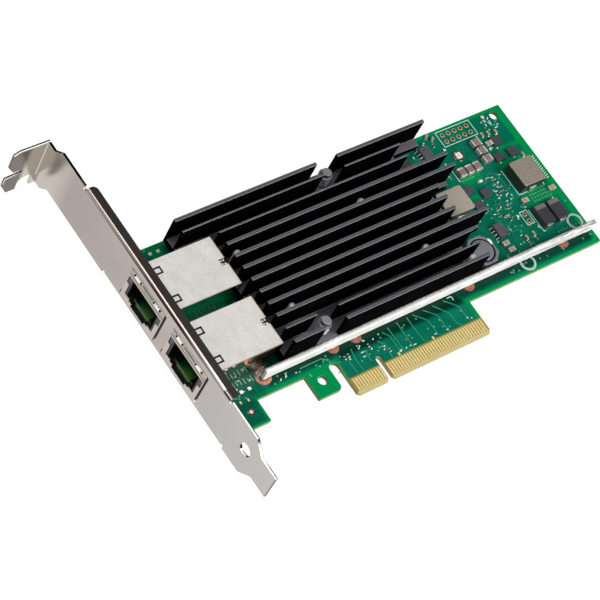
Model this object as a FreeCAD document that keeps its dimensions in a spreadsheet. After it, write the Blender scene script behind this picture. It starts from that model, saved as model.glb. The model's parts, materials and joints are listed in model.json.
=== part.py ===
import FreeCAD, Part
import math
import os
import Sketcher

# Network interface card: a low-profile circuit board on a full-height slot bracket, with two
# jacks for twisted-pair plugs, a finned heatsink over the controller and a stiffener bar.
#
# Frame: millimetres. The origin is the centre of the key notch, on the board's component face and
# at the bottom edge of the gold fingers. +X runs along the card away from the bracket, +Y from the
# fingers to the board's far long edge, and +Z out of the component face.

# ---------------------------------------------------------------------------------------------
# Driving dimensions: every one is a cell of the document's spreadsheet, under the same alias.
# ---------------------------------------------------------------------------------------------
DIMENSIONS = {
    # circuit board
    "board_left": -57.2,
    "board_right": 95.7,
    "board_top": 67.8,
    "board_low": 11.9,
    "board_thick": 1.57,
    "finger_left": -12.6,
    "finger_right": 39.6,
    "finger_chamfer": 0.8,
    "key_half": 0.95,
    "key_top": 8.3,
    "bevel_run": 1.25,
    "bevel_drop": 0.42,
    "slot_left": -16.1,
    "slot_top": 12.4,
    "tab_left": -24.6,
    "tab_low": 3.95,
    "tab_chamfer": 0.9,
    "foot_right": -42.3,
    "foot_low": 4.45,
    "corner_hole_x": 91.6,
    "corner_hole_y": 64.9,
    "tab_hole_x": -20.24,
    "tab_hole_y": 8.8,
    "card_hole_radius": 1.6,
    "header_x": 69.6,
    "header_y": 65.3,
    "header_pitch": 2.54,
    "jumper_x": 77.42,
    "jumper_y": 30.3,
    "header_hole_radius": 0.5,
    # gold contacts of the edge connector
    "contact_first_x": -11.5,
    "contact_second_x": 1.5,
    "contact_pitch": 1.0,
    "contact_width": 0.7,
    "contact_high": 5.3,
    "contact_thick": 0.05,
    "short_row_count": 11,
    "long_row_count": 38,
    # slot bracket, of bent sheet
    "bracket_outer": -58.94,
    "sheet_thick": 0.86,
    "bracket_solder_z": -3.59,
    "bracket_width": 18.42,
    "bracket_height": 120.02,
    "bracket_tip": -14.92,
    "neck_solder_z": -6.6,
    "neck_parts_z": 12.1,
    "neck_length": 4.1,
    "shoulder_drop": 3.0,
    "return_depth": 3.3,
    "return_low": 9.9,
    "return_from_top": 20.0,
    "return_corner": 1.6,
    "sole_low": 5.4,
    "sole_high": 66.8,
    "relief_width": 1.0,
    "relief_depth": 1.3,
    "bend_radius": 1.1,
    "tongue_solder_z": 0.6,
    "tongue_width": 10.19,
    "tongue_length": 6.92,
    "taper_length": 4.4,
    "vent_from_tip": 12.82,
    "vent_z": 6.45,
    "vent_radius": 2.25,
    "flange_depth": 11.43,
    "flange_solder_z": -8.2,
    "screw_slot_reach": 3.71,
    "screw_slot_radius": 2.45,
    "screw_slot_end": -5.2,
    "flange_chamfer": 2.1,
    "slit_z": 0.9,
    "slit_width": 2.0,
    "slit_lead": 0.6,
    "slit_mouth": 2.9,
    "lug_x": -54.2,
    "lug_high_y": 63.3,
    "lug_low_y": 9.0,
    "lug_half": 3.5,
    "lug_hole_radius": 1.55,
    "lug_boss_radius": 2.9,
    "lug_head_radius": 2.7,
    "lug_head_thick": 1.5,
    "lug_nut_across": 5.5,
    "lug_nut_height": 2.2,
    "thread_gap": 0.05,
    # jacks
    "jack_first_y": 50.1,
    "jack_pitch": 21.7,
    "jack_front": -59.1,
    "jack_back": -31.5,
    "jack_half": 8.55,
    "jack_top": 11.4,
    "jack_bottom": -1.9,
    "jack_nose_back": -57.35,
    "window_gap": 0.4,
    "shield_thick": 0.3,
    "plug_half": 6.2,
    "plug_floor": 0.4,
    "plug_ceiling": 8.1,
    "plug_depth": 13.5,
    "latch_half": 3.3,
    "latch_wing_half": 4.7,
    "latch_wing_drop": 0.8,
    "latch_drop": 1.9,
    "pipe_margin": 0.35,
    "pipe_width": 1.6,
    "pipe_low": 5.0,
    "face_rim": 0.8,
    "face_rim_low": 0.2,
    "wire_pitch": 1.02,
    "wire_width": 0.45,
    "wire_count": 8,
    "wire_length": 9.5,
    "wire_thick": 0.5,
    "wire_drop": 2.2,
    "pipe_length": 7.5,
    "shield_tab_low_in": 3.45,
    "shield_tab_high_in": 3.65,
    "shield_tab_width": 1.5,
    "shield_tab_gap": 0.4,
    "shield_tab_tip": -51.7,
    "shield_tab_length": 3.3,
    "rear_notch_low": -1.3,
    "rear_notch_high": 0.8,
    "rear_notch_depth": 2.2,
    "finger_low": -6.2,
    "finger_high": 3.6,
    "finger_length": 2.8,
    "finger_rise": 0.25,
    "finger_width": 0.6,
    "finger_drop": 0.5,
    # heatsink
    "sink_left": -29.65,
    "sink_shelf_left": -39.9,
    "sink_shelf_low": 60.5,
    "sink_right": 55.7,
    "sink_short_right": 45.85,
    "sink_bottom": 2.5,
    "sink_base_top": 4.8,
    "fin_top": 13.9,
    "fin_thick": 1.1,
    "fin_thin": 0.55,
    "fin_rear_y": 66.3,
    "fin_second_y": 62.15,
    "fin_third_y": 57.72,
    "fin_middle_y": 53.55,
    "fin_pitch": 4.325,
    "fin_eleventh_y": 22.87,
    "fin_front_y": 18.25,
    "thin_fin_right": 43.0,
    "drum_bay_high": 30.6,
    "coil_bay_low": 34.0,
    "coil_bay_high": 47.3,
    "coil_bay_x": 48.2,
    "crystal_bay_low": 54.9,
    "crystal_bay_high": 63.1,
    "crystal_bay_x": 45.0,
    "screw_rear_x": 16.9,
    "screw_rear_y": 64.0,
    "screw_front_x": -14.2,
    "screw_front_y": 21.3,
    "screw_gap": 8.0,
    "screw_head_radius": 1.6,
    "screw_head_thick": 0.8,
    "screw_head_top": 10.4,
    "screw_radius": 0.95,
    "screw_hole_radius": 1.3,
    "spring_radius": 1.95,
    "spring_wire": 0.22,
    "spring_pitch": 1.15,
    "screw_collar_thick": 0.5,
    "sink_nut_across": 4.5,
    "sink_nut_height": 1.6,
    "thread_end": 0.3,
    "pin_radius": 1.2,
    "pin_top": 10.1,
    "pin_dome": 0.95,
    # controller
    "chip_x": 5.0,
    "chip_y": 42.0,
    "chip_side": 25.0,
    "chip_rise": 0.3,
    "chip_thick": 1.1,
    "lid_side": 17.0,
    "pad_thick": 0.2,
    # stiffener bar
    "bar_left": -37.4,
    "bar_right": 95.0,
    "bar_front": 16.2,
    "bar_width": 1.4,
    "bar_low": 0.35,
    "bar_high": 4.6,
    "solder_pad_radius": 2.1,
    "solder_pad_thick": 0.05,
    "bar_foot_width": 1.2,
    # power inductors
    "output_coil_x": 85.7,
    "output_coil_y": 41.6,
    "output_coil_length": 9.3,
    "output_coil_width": 9.35,
    "output_coil_height": 4.0,
    "covered_coil_x": 55.1,
    "covered_coil_y": 41.8,
    "covered_coil_length": 10.2,
    "covered_coil_width": 8.9,
    "covered_coil_height": 4.0,
    "coil_corner": 0.8,
    "coil_lift": 0.3,
    "clip_width": 2.6,
    "clip_thick": 0.25,
    "clip_height": 1.6,
    "clip_reach": 2.0,
    "drum_x": 52.0,
    "drum_y": 23.4,
    "drum_side": 10.0,
    "drum_corner": 2.6,
    "drum_height": 4.2,
    "drum_bore_radius": 4.25,
    "drum_core_radius": 3.75,
    "drum_floor": 1.0,
    # packaged parts
    "part_lift": 0.1,
    "bulk_long": 3.2,
    "bulk_short": 2.5,
    "bulk_height": 1.8,
    "bulk_cap": 0.6,
    "bulk_pitch": 3.22,
    "small_long": 2.4,
    "small_short": 1.7,
    "small_height": 1.1,
    "small_cap": 0.5,
    "regulator_long": 3.5,
    "regulator_short": 3.0,
    "regulator_height": 0.9,
    "memory_long": 4.9,
    "memory_short": 3.6,
    "memory_height": 1.5,
    "lead_pitch": 1.27,
    "lead_width": 0.42,
    "lead_reach": 1.05,
    "lead_thick": 0.2,
    "tank_long": 7.1,
    "tank_short": 4.4,
    "tank_height": 2.2,
    "tank_tab": 2.4,
    "tank_tab_reach": 0.35,
    "clock_long": 2.1,
    "clock_short": 2.1,
    "clock_height": 0.5,
    "crystal_long": 6.4,
    "crystal_short": 5.4,
    "crystal_height": 1.3,
}


# Where the parts on the board stand: X and Y of each one's middle, kept in the same spreadsheet.
# A foot of the stiffener bar gives its X, and how far its solder pad lies off the bar's middle.
POSITIONS = {
    "bar_foot": ((-36.2, 0.6), (-11.0, -0.3), (-2.4, -0.3), (42.8, -0.3), (82.8, -0.3)),
    "spare_pad": ((-36.0, 21.6),),
    "pin": ((-25.6, 51.4), (21.5, 51.4), (-20.6, 29.75), (31.1, 29.75), (43.2, 20.75)),
    "bulk_column": ((77.8, 58.1),),
    "bulk_row": ((66.0, 50.6),),
    "small_capacitor": ((82.5, 56.4), (92.2, 34.3), (80.3, 34.0), (63.8, 23.6), (64.3, 21.0)),
    "regulator": ((85.5, 56.3), (82.5, 50.9), (88.3, 50.9), (64.2, 44.5), (69.4, 41.5),
                  (64.4, 38.7)),
    "memory": ((59.2, 61.2), (64.8, 28.1)),
    "tank": ((82.4, 26.8), (87.9, 26.8)),
    "clock": ((69.8, 56.65),),
    "crystal": ((49.1, 58.6),),
}


class Size:
    """A length that carries both its number and its spreadsheet expression."""

    def __init__(self, text, value):
        self.text = text
        self.value = float(value)

    def __add__(self, other):
        other = as_size(other)
        return Size(f"({self.text} + {other.text})", self.value + other.value)

    def __sub__(self, other):
        other = as_size(other)
        return Size(f"({self.text} - {other.text})", self.value - other.value)

    def __mul__(self, factor):
        factor = as_size(factor)
        return Size(f"({self.text} * {factor.text})", self.value * factor.value)

    def __truediv__(self, factor):
        factor = as_size(factor)
        return Size(f"({self.text} / {factor.text})", self.value / factor.value)

    def __neg__(self):
        return Size(f"(0 - {self.text})", -self.value)

    __radd__ = __add__
    __rmul__ = __mul__

    def __rsub__(self, other):
        return as_size(other) - self


def as_size(number):
    """Give a plain number the same form as a spreadsheet size."""
    return number if isinstance(number, Size) else Size(repr(float(number)), number)


class Dimensions:
    """The spreadsheet's cells as attributes: D.board_thick, D.key_half and so on."""

    def __init__(self, document, values):
        self.sheet = document.addObject("Spreadsheet::Sheet", "Dimensions")
        self.rows = 0
        for alias, value in values.items():
            setattr(self, alias, self.cell(alias, value))

    def cell(self, alias, value):
        """Write one value into the next row of the sheet, under its alias."""
        self.rows += 1
        self.sheet.set(f"A{self.rows}", alias)
        self.sheet.set(f"B{self.rows}", str(value))
        self.sheet.setAlias(f"B{self.rows}", alias)
        return Size(f"Dimensions.{alias}", value)

    def places(self, kind, points):
        """Write the X and Y of each part of one kind."""
        return [(self.cell(f"{kind}_{number}_x", x), self.cell(f"{kind}_{number}_y", y))
                for number, (x, y) in enumerate(points, start=1)]


doc = FreeCAD.newDocument("network_card")
D = Dimensions(doc, DIMENSIONS)
PLACES = {kind: D.places(kind, points) for kind, points in POSITIONS.items()}
doc.recompute()
nodes = []


# ---------------------------------------------------------------------------------------------
# Small builders shared by the sub-parts
# ---------------------------------------------------------------------------------------------
def bind(thing, name, size):
    """Set one property of an object and tie it to the spreadsheet."""
    thing.setExpression(name, as_size(size).text)


def node(label, thing):
    """Name a finished sub-part and keep it for export."""
    thing.Label = label
    nodes.append(thing)
    return thing


def place(thing, x, y, z):
    """Tie an object's position to the spreadsheet."""
    for axis, size in zip("xyz", (x, y, z)):
        bind(thing, f"Placement.Base.{axis}", size)


def box(name, x, y, z):
    """A box between the low and the high size given for each axis."""
    solid = doc.addObject("Part::Box", name)
    for prop, (low, high) in zip(("Length", "Width", "Height"), (x, y, z)):
        bind(solid, prop, as_size(high) - low)
    place(solid, x[0], y[0], z[0])
    return solid


def block(name, x, y, length, width, z):
    """A box centred on a point of the board."""
    return box(name, (x - length / 2, x + length / 2), (y - width / 2, y + width / 2), z)


def cylinder(name, x, y, z, radius):
    """An upright cylinder between two heights."""
    solid = doc.addObject("Part::Cylinder", name)
    bind(solid, "Radius", radius)
    bind(solid, "Height", as_size(z[1]) - z[0])
    place(solid, x, y, z[0])
    return solid


def fuse(name, pieces):
    """Join pieces into one solid."""
    joined = doc.addObject("Part::MultiFuse", name)
    joined.Shapes = pieces
    joined.Refine = True
    return joined


def cut(name, base, tools):
    """Take the tools out of the base."""
    tool = tools[0] if len(tools) == 1 else fuse(name + "_tools", tools)
    result = doc.addObject("Part::Cut", name)
    result.Base = base
    result.Tool = tool
    return result


def group(label, pieces):
    """A node made of separate solids that are alike."""
    set_of_pieces = doc.addObject("Part::Compound", label)
    set_of_pieces.Links = pieces
    return node(label, set_of_pieces)


def rounded(name, thing, radius, chosen):
    """Fillet the edges of a solid for which chosen(edge) is true, with one radius."""
    doc.recompute()
    fillet = doc.addObject("Part::Fillet", name)
    fillet.Base = thing
    size = as_size(radius).value
    fillet.Edges = [(number, size, size)
                    for number, edge in enumerate(thing.Shape.Edges, start=1) if chosen(edge)]
    return fillet


def upright(edge):
    """True for a straight edge that runs along Z."""
    span = edge.BoundBox
    return span.ZLength > 1e-3 and span.XLength < 1e-6 and span.YLength < 1e-6


def plane_of(body, role):
    """One of the body's own origin planes."""
    return next(feature for feature in body.Origin.OriginFeatures if feature.Role == role)


def sketch_on(body, name, role, offset=0):
    """An empty sketch on an origin plane of the body, moved along the plane's normal."""
    sketch = body.newObject("Sketcher::SketchObject", name)
    sketch.AttachmentSupport = [(plane_of(body, role), "")]
    sketch.MapMode = "FlatFace"
    bind(sketch, "AttachmentOffset.Base.z", offset)
    return sketch


def hold_point(sketch, geometry, end, point, name):
    """Fix one end of a line, or a circle's centre, at a pair of sizes."""
    for axis, kind, size in zip("xy", ("DistanceX", "DistanceY"), point):
        size = as_size(size)
        index = sketch.addConstraint(Sketcher.Constraint(kind, -1, 1, geometry, end, size.value))
        sketch.renameConstraint(index, f"{name}_{axis}")
        bind(sketch, f"Constraints.{name}_{axis}", size)


def outline(sketch, points, name="corner"):
    """A closed outline of straight lines, each corner held at its pair of sizes."""
    first = sketch.GeometryCount
    corners = [FreeCAD.Vector(as_size(a).value, as_size(b).value, 0) for a, b in points]
    for index, start in enumerate(corners):
        end = corners[(index + 1) % len(corners)]
        sketch.addGeometry(Part.LineSegment(start, end), False)
    for index, point in enumerate(points):
        following = first + (index + 1) % len(points)
        sketch.addConstraint(Sketcher.Constraint("Coincident", first + index, 2, following, 1))
        hold_point(sketch, first + index, 1, point, f"{name}_{first + index}")


def circles(sketch, centres, radius):
    """Circles of one radius, each centre held at its pair of sizes."""
    radius = as_size(radius)
    for x, y in centres:
        centre = FreeCAD.Vector(as_size(x).value, as_size(y).value, 0)
        ring = sketch.addGeometry(Part.Circle(centre, FreeCAD.Vector(0, 0, 1), radius.value), False)
        hold_point(sketch, ring, 3, (x, y), f"ring_{ring}")
        index = sketch.addConstraint(Sketcher.Constraint("Radius", ring, radius.value))
        sketch.renameConstraint(index, f"ring_{ring}_radius")
        bind(sketch, f"Constraints.ring_{ring}_radius", radius)


def pad(body, sketch, length):
    """Raise a sketch along its plane's normal."""
    feature = body.newObject("PartDesign::Pad", sketch.Name + "_pad")
    feature.Profile = sketch
    bind(feature, "Length", length)
    return feature


def pocket_through(body, sketch):
    """Cut a sketch through the whole body, both ways."""
    feature = body.newObject("PartDesign::Pocket", sketch.Name + "_pocket")
    feature.Profile = sketch
    feature.Type = "ThroughAll"
    feature.Midplane = True
    return feature


def new_body(name):
    """An empty PartDesign body."""
    return doc.addObject("PartDesign::Body", name)


# ---------------------------------------------------------------------------------------------
# Circuit board with its edge connector, mounting tab and holes
# ---------------------------------------------------------------------------------------------
JACK_CENTRES = (D.jack_first_y, D.jack_first_y - D.jack_pitch)
SINK_SCREWS = ((D.screw_rear_x, D.screw_rear_y), (D.screw_front_x, D.screw_front_y))
LUGS = ((D.lug_x, D.lug_high_y), (D.lug_x, D.lug_low_y))


def board_outline():
    """The board's outline, anticlockwise from its lower left corner."""
    slot_half = (D.finger_left - D.slot_left) / 2
    slot_square_top = D.slot_top - slot_half
    key_square_top = D.key_top - D.key_half
    chamfer = D.finger_chamfer
    return [
        (D.board_left, D.foot_low),
        (D.foot_right, D.foot_low),
        (D.foot_right, D.board_low),
        (D.tab_left, D.board_low),
        (D.tab_left, D.tab_low),
        (D.slot_left - D.tab_chamfer, D.tab_low),
        (D.slot_left, D.tab_low + D.tab_chamfer),
        (D.slot_left, slot_square_top),
        (D.finger_left, slot_square_top),
        (D.finger_left, chamfer),
        (D.finger_left + chamfer, 0),
        (-D.key_half - chamfer, 0),
        (-D.key_half, chamfer),
        (-D.key_half, key_square_top),
        (D.key_half, key_square_top),
        (D.key_half, chamfer),
        (D.key_half + chamfer, 0),
        (D.finger_right - chamfer, 0),
        (D.finger_right, chamfer),
        (D.finger_right, D.board_low),
        (D.board_right, D.board_low),
        (D.board_right, D.board_top),
        (D.board_left, D.board_top),
    ]


def build_circuit_board():
    """Glass-fibre board: outline, bevelled fingers, slot ends, mounting and header holes."""
    body = new_body("circuit_board")
    base = sketch_on(body, "board_outline", "XY_Plane", -D.board_thick)
    outline(base, board_outline())
    pad(body, base, D.board_thick)

    bevels = sketch_on(body, "finger_bevels", "YZ_Plane")
    for face, inward in ((0, -1), (-D.board_thick, 1)):
        outline(bevels, [(0, face), (D.bevel_run, face), (0, face + inward * D.bevel_drop)])
    pocket_through(body, bevels)

    slot_half = (D.finger_left - D.slot_left) / 2
    slot_ends = sketch_on(body, "slot_end", "XY_Plane")
    circles(slot_ends, [(D.slot_left + slot_half, D.slot_top - slot_half)], slot_half)
    circles(slot_ends, [(0, D.key_top - D.key_half)], D.key_half)
    pocket_through(body, slot_ends)

    holes = sketch_on(body, "holes", "XY_Plane")
    circles(holes, [(D.corner_hole_x, D.corner_hole_y), (D.tab_hole_x, D.tab_hole_y)],
            D.card_hole_radius)
    header = [(D.header_x + column * D.header_pitch, D.header_y - row * D.header_pitch)
              for column in range(5) for row in range(2)]
    jumper = [(D.jumper_x, D.jumper_y - row * D.header_pitch) for row in range(2)]
    circles(holes, header + jumper, D.header_hole_radius)
    circles(holes, SINK_SCREWS, D.screw_hole_radius)
    circles(holes, LUGS, D.lug_hole_radius)
    pocket_through(body, holes)
    node("circuit_board", body)


def contact_row(name, first_x, count, low_z):
    """One row of gold contacts, the first one padded and the rest patterned along the edge."""
    body = new_body(name)
    sketch = sketch_on(body, name + "_first", "XY_Plane", low_z)
    left = first_x - D.contact_width / 2
    right = first_x + D.contact_width / 2
    outline(sketch, [(left, D.bevel_run), (right, D.bevel_run),
                     (right, D.contact_high), (left, D.contact_high)])
    first = pad(body, sketch, D.contact_thick)
    doc.recompute()
    row = body.newObject("PartDesign::LinearPattern", name + "_row")
    row.Originals = [first]
    row.Direction = (sketch, ["H_Axis"])
    bind(row, "Length", D.contact_pitch * (count - 1))
    bind(row, "Occurrences", count)
    body.Tip = row
    return body


def build_edge_contacts():
    """Gold contacts on both faces, on either side of the key notch."""
    rows = []
    for side, low_z in (("front", as_size(0)), ("back", -D.board_thick - D.contact_thick)):
        rows.append(contact_row(side + "_short", D.contact_first_x, D.short_row_count, low_z))
        rows.append(contact_row(side + "_long", D.contact_second_x, D.long_row_count, low_z))
    group("edge_contacts", rows)


# ---------------------------------------------------------------------------------------------
# Slot bracket
# ---------------------------------------------------------------------------------------------
BRACKET_PARTS_Z = D.bracket_solder_z + D.bracket_width
BRACKET_INNER = D.bracket_outer + D.sheet_thick
BRACKET_TOP = D.bracket_tip + D.bracket_height
RETURN_HIGH = BRACKET_TOP - D.return_from_top
SCREW_SLOT_X = D.bracket_outer - D.screw_slot_reach


def relief(edge_z, inward, low_y, high_y):
    """A small square relief cut into a long edge, from low_y to high_y."""
    depth = inward * D.relief_depth
    return [(low_y, edge_z), (low_y, edge_z + depth), (high_y, edge_z + depth), (high_y, edge_z)]


def bracket_face_outline():
    """The bracket's flat face in Y and Z: solder side going down, component side going up."""
    tongue_high = D.bracket_tip + D.tongue_length
    taper_high = tongue_high + D.taper_length
    tongue_parts_z = D.tongue_solder_z + D.tongue_width
    neck_low = BRACKET_TOP - D.neck_length
    solder = D.bracket_solder_z
    parts = BRACKET_PARTS_Z
    corners = [
        (BRACKET_TOP, D.neck_solder_z),
        (neck_low, D.neck_solder_z),
        (neck_low - D.shoulder_drop, solder),
    ]
    corners += reversed(relief(solder, 1, D.sole_high, D.sole_high + D.relief_width))
    corners += reversed(relief(solder, 1, D.sole_low - D.relief_width, D.sole_low))
    corners += [
        (taper_high, solder),
        (tongue_high, D.tongue_solder_z),
        (D.bracket_tip, D.tongue_solder_z),
        (D.bracket_tip, tongue_parts_z),
        (tongue_high, tongue_parts_z),
        (taper_high, parts),
    ]
    corners += relief(parts, -1, D.return_low - D.relief_width, D.return_low)
    corners += relief(parts, -1, RETURN_HIGH, RETURN_HIGH + D.relief_width)
    corners += [
        (neck_low - D.shoulder_drop, parts),
        (neck_low, D.neck_parts_z),
        (BRACKET_TOP, D.neck_parts_z),
    ]
    return corners


def build_bracket_face():
    """Flat face with a window for each jack and a round vent hole."""
    body = new_body("bracket_face")
    face = sketch_on(body, "face_outline", "YZ_Plane", D.bracket_outer)
    outline(face, bracket_face_outline())
    pad(body, face, D.sheet_thick)

    openings = sketch_on(body, "face_openings", "YZ_Plane")
    half = D.jack_half + D.window_gap
    top = D.jack_top + D.window_gap / 2
    for centre in JACK_CENTRES:
        outline(openings, [(centre - half, D.jack_bottom), (centre + half, D.jack_bottom),
                           (centre + half, top), (centre - half, top)])
    circles(openings, [(D.bracket_tip + D.vent_from_tip, D.vent_z)], D.vent_radius)
    pocket_through(body, openings)
    return body


def build_top_flange():
    """Flange that lies on the chassis: an open screw slot and a narrow slit make a springy tongue."""
    body = new_body("top_flange")
    outer = D.bracket_outer - D.flange_depth
    slot_left = SCREW_SLOT_X - D.screw_slot_radius
    slot_right = SCREW_SLOT_X + D.screw_slot_radius
    solder = D.flange_solder_z
    corner = D.flange_chamfer
    slit_low = D.slit_z - D.slit_width / 2
    slit_high = D.slit_z + D.slit_width / 2
    plan = sketch_on(body, "flange_outline", "XZ_Plane", -BRACKET_TOP)
    outline(plan, [
        (BRACKET_INNER, solder),
        (BRACKET_INNER, D.neck_parts_z),
        (outer + corner, D.neck_parts_z),
        (outer, D.neck_parts_z - corner / 2),
        (outer, slit_high + D.slit_mouth),
        (outer + corner, slit_high),
        (slot_left, slit_high),
        (slot_left, slit_low),
        (outer, slit_low - D.slit_lead),
        (outer, D.screw_slot_end + D.slit_lead),
        (outer + corner, solder),
        (slot_left, solder),
        (slot_left, D.screw_slot_end),
        (slot_right, D.screw_slot_end),
        (slot_right, solder),
    ])
    pad(body, plan, D.sheet_thick)
    slot_end = sketch_on(body, "screw_slot_end", "XZ_Plane")
    circles(slot_end, [(SCREW_SLOT_X, D.screw_slot_end)], D.screw_slot_radius)
    pocket_through(body, slot_end)
    return body


def build_bracket():
    """The bracket: face, top flange, a return along each side and two threaded lugs."""
    back = D.bracket_outer + D.return_depth
    parts_return = rounded(
        "parts_return",
        box("parts_return_plate", (D.bracket_outer, back), (D.return_low, RETURN_HIGH),
            (BRACKET_PARTS_Z - D.sheet_thick, BRACKET_PARTS_Z)),
        D.return_corner,
        lambda edge: upright(edge) and abs(edge.BoundBox.XMin - back.value) < 1e-3)
    sole_z = (D.bracket_solder_z, D.bracket_solder_z + D.sheet_thick)
    pieces = [build_bracket_face(), build_top_flange(), parts_return]
    pieces.append(box("solder_return", (D.bracket_outer, back), (D.sole_low, D.sole_high), sole_z))
    for name, (x, y) in zip(("high", "low"), LUGS):
        pieces.append(box(f"lug_{name}", (back - 1, x + D.lug_half),
                          (y - D.lug_half, y + D.lug_half), sole_z))
        pieces.append(cylinder(f"boss_{name}", x, y, (D.bracket_solder_z, -D.board_thick),
                               D.lug_boss_radius))
    holes = [cylinder(f"lug_hole_{name}", x, y, (D.bracket_solder_z - 1, 1), D.lug_hole_radius)
             for name, (x, y) in zip(("high", "low"), LUGS)]
    flat = cut("bracket_flat", fuse("bracket_sheet", pieces), holes)

    def on_outer_bend(edge):
        span = edge.BoundBox
        long_side = span.YLength > 50 and span.XLength < 1e-3 and span.ZLength < 1e-3
        at_corner = any(abs(span.ZMin - z.value) < 1e-3
                        for z in (D.bracket_solder_z, BRACKET_PARTS_Z))
        return long_side and at_corner and abs(span.XMin - D.bracket_outer.value) < 1e-3

    node("io_bracket", rounded("io_bracket", flat, D.bend_radius, on_outer_bend))


def nut(name, x, y, z, across_flats, thread_radius):
    """A hexagonal nut between two heights, with a plain bore a little wider than its screw."""
    prism = doc.addObject("Part::Prism", name + "_prism")
    prism.Polygon = 6
    bind(prism, "Circumradius", across_flats / math.sqrt(3))
    bind(prism, "Height", as_size(z[1]) - z[0])
    place(prism, x, y, z[0])
    bore = cylinder(name + "_bore", x, y, z, thread_radius + D.thread_gap)
    return cut(name, prism, [bore])


def build_bracket_fasteners():
    """Screws up through the lugs, and the nuts they draw down onto the board."""
    screws = []
    nuts = []
    thread_radius = D.lug_hole_radius - 2 * D.thread_gap
    nut_z = (0, D.lug_nut_height)
    for name, (x, y) in zip(("high", "low"), LUGS):
        head = cylinder(f"lug_head_{name}", x, y,
                        (D.bracket_solder_z - D.lug_head_thick, D.bracket_solder_z),
                        D.lug_head_radius)
        shank = cylinder(f"lug_shank_{name}", x, y,
                         (D.bracket_solder_z - D.lug_head_thick / 2, D.lug_nut_height + D.thread_end),
                         thread_radius)
        screws.append(fuse(f"lug_screw_{name}", [head, shank]))
        nuts.append(nut(f"lug_nut_{name}", x, y, nut_z, D.lug_nut_across, thread_radius))
    group("bracket_screws", screws)
    group("bracket_nuts", nuts)


# ---------------------------------------------------------------------------------------------
# Jacks: tin-plated shield, moulded housing, contact wires, inner board and light pipes
# ---------------------------------------------------------------------------------------------
def across(centre, low, high):
    """A span of Y measured from a jack's centre line."""
    return (centre + low, centre + high)


def mouth_tools(name, centre, x):
    """The stepped mouth of a jack: plug opening, latch slot and its wings, over a span of X."""
    return [
        box(name + "_plug", x, across(centre, -D.plug_half, D.plug_half),
            (D.plug_floor, D.plug_ceiling)),
        box(name + "_wings", x, across(centre, -D.latch_wing_half, D.latch_wing_half),
            (D.plug_floor - D.latch_wing_drop, D.plug_ceiling)),
        box(name + "_latch", x, across(centre, -D.latch_half, D.latch_half),
            (D.plug_floor - D.latch_drop, D.plug_ceiling)),
    ]


def pipe_spans(centre):
    """The spans of Y of the two light pipes beside a jack's mouth."""
    outer = D.jack_half - D.pipe_margin
    inner = outer - D.pipe_width
    return (across(centre, -outer, -inner), across(centre, inner, outer))


def build_shield(letter, centre):
    """Shield round a jack, open below, whose nose reaches down past the board's edge."""
    name = f"jack_shield_{letter}"
    outer_y = across(centre, -D.jack_half, D.jack_half)
    inner_half = D.jack_half - D.shield_thick
    inner_y = across(centre, -inner_half, inner_half)
    nose = box(name + "_nose", (D.jack_front, D.jack_nose_back), outer_y, (D.jack_bottom, D.jack_top))
    roof_box = box(name + "_roof", (D.jack_front, D.jack_back), outer_y, (0, D.jack_top))
    shell = fuse(name + "_shell", [nose, roof_box])
    inside = D.jack_front + D.shield_thick
    tools = [
        box(name + "_inside", (inside, D.jack_back - D.shield_thick), inner_y,
            (D.jack_bottom + D.shield_thick, D.jack_top - D.shield_thick)),
        box(name + "_rear_notch", (D.jack_back - D.rear_notch_depth, D.jack_back + 1),
            across(centre, D.rear_notch_low, D.rear_notch_high), (D.jack_top - 1, D.jack_top + 1)),
    ]
    through_face = (D.jack_front - 1, inside + 0.1)
    tools += mouth_tools(name + "_mouth", centre, through_face)
    rim_half = D.plug_half + D.face_rim
    tools.append(box(name + "_rim", through_face, across(centre, -rim_half, rim_half),
                     (D.plug_floor - D.face_rim_low, D.plug_ceiling)))
    for side, span in zip(("low", "high"), pipe_spans(centre)):
        tools.append(box(f"{name}_pipe_{side}", through_face, span,
                         (D.pipe_low - D.face_rim_low, D.plug_ceiling)))
    roof = (D.jack_top - 1, D.jack_top + 1)
    tab_root = D.shield_tab_tip - D.shield_tab_length
    tab_half = D.shield_tab_width / 2
    groove_half = tab_half + D.shield_tab_gap
    for side, tab_y in (("low", D.shield_tab_low_in - D.jack_half),
                        ("high", D.jack_half - D.shield_tab_high_in)):
        groove = box(f"{name}_groove_{side}", (tab_root, D.shield_tab_tip + D.shield_tab_gap),
                     across(centre, tab_y - groove_half, tab_y + groove_half), roof)
        tab = box(f"{name}_tab_{side}", (tab_root - 1, D.shield_tab_tip),
                  across(centre, tab_y - tab_half, tab_y + tab_half), roof)
        tools.append(cut(f"{name}_slit_{side}", groove, [tab]))
    node(name, cut(name, shell, tools))


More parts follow.
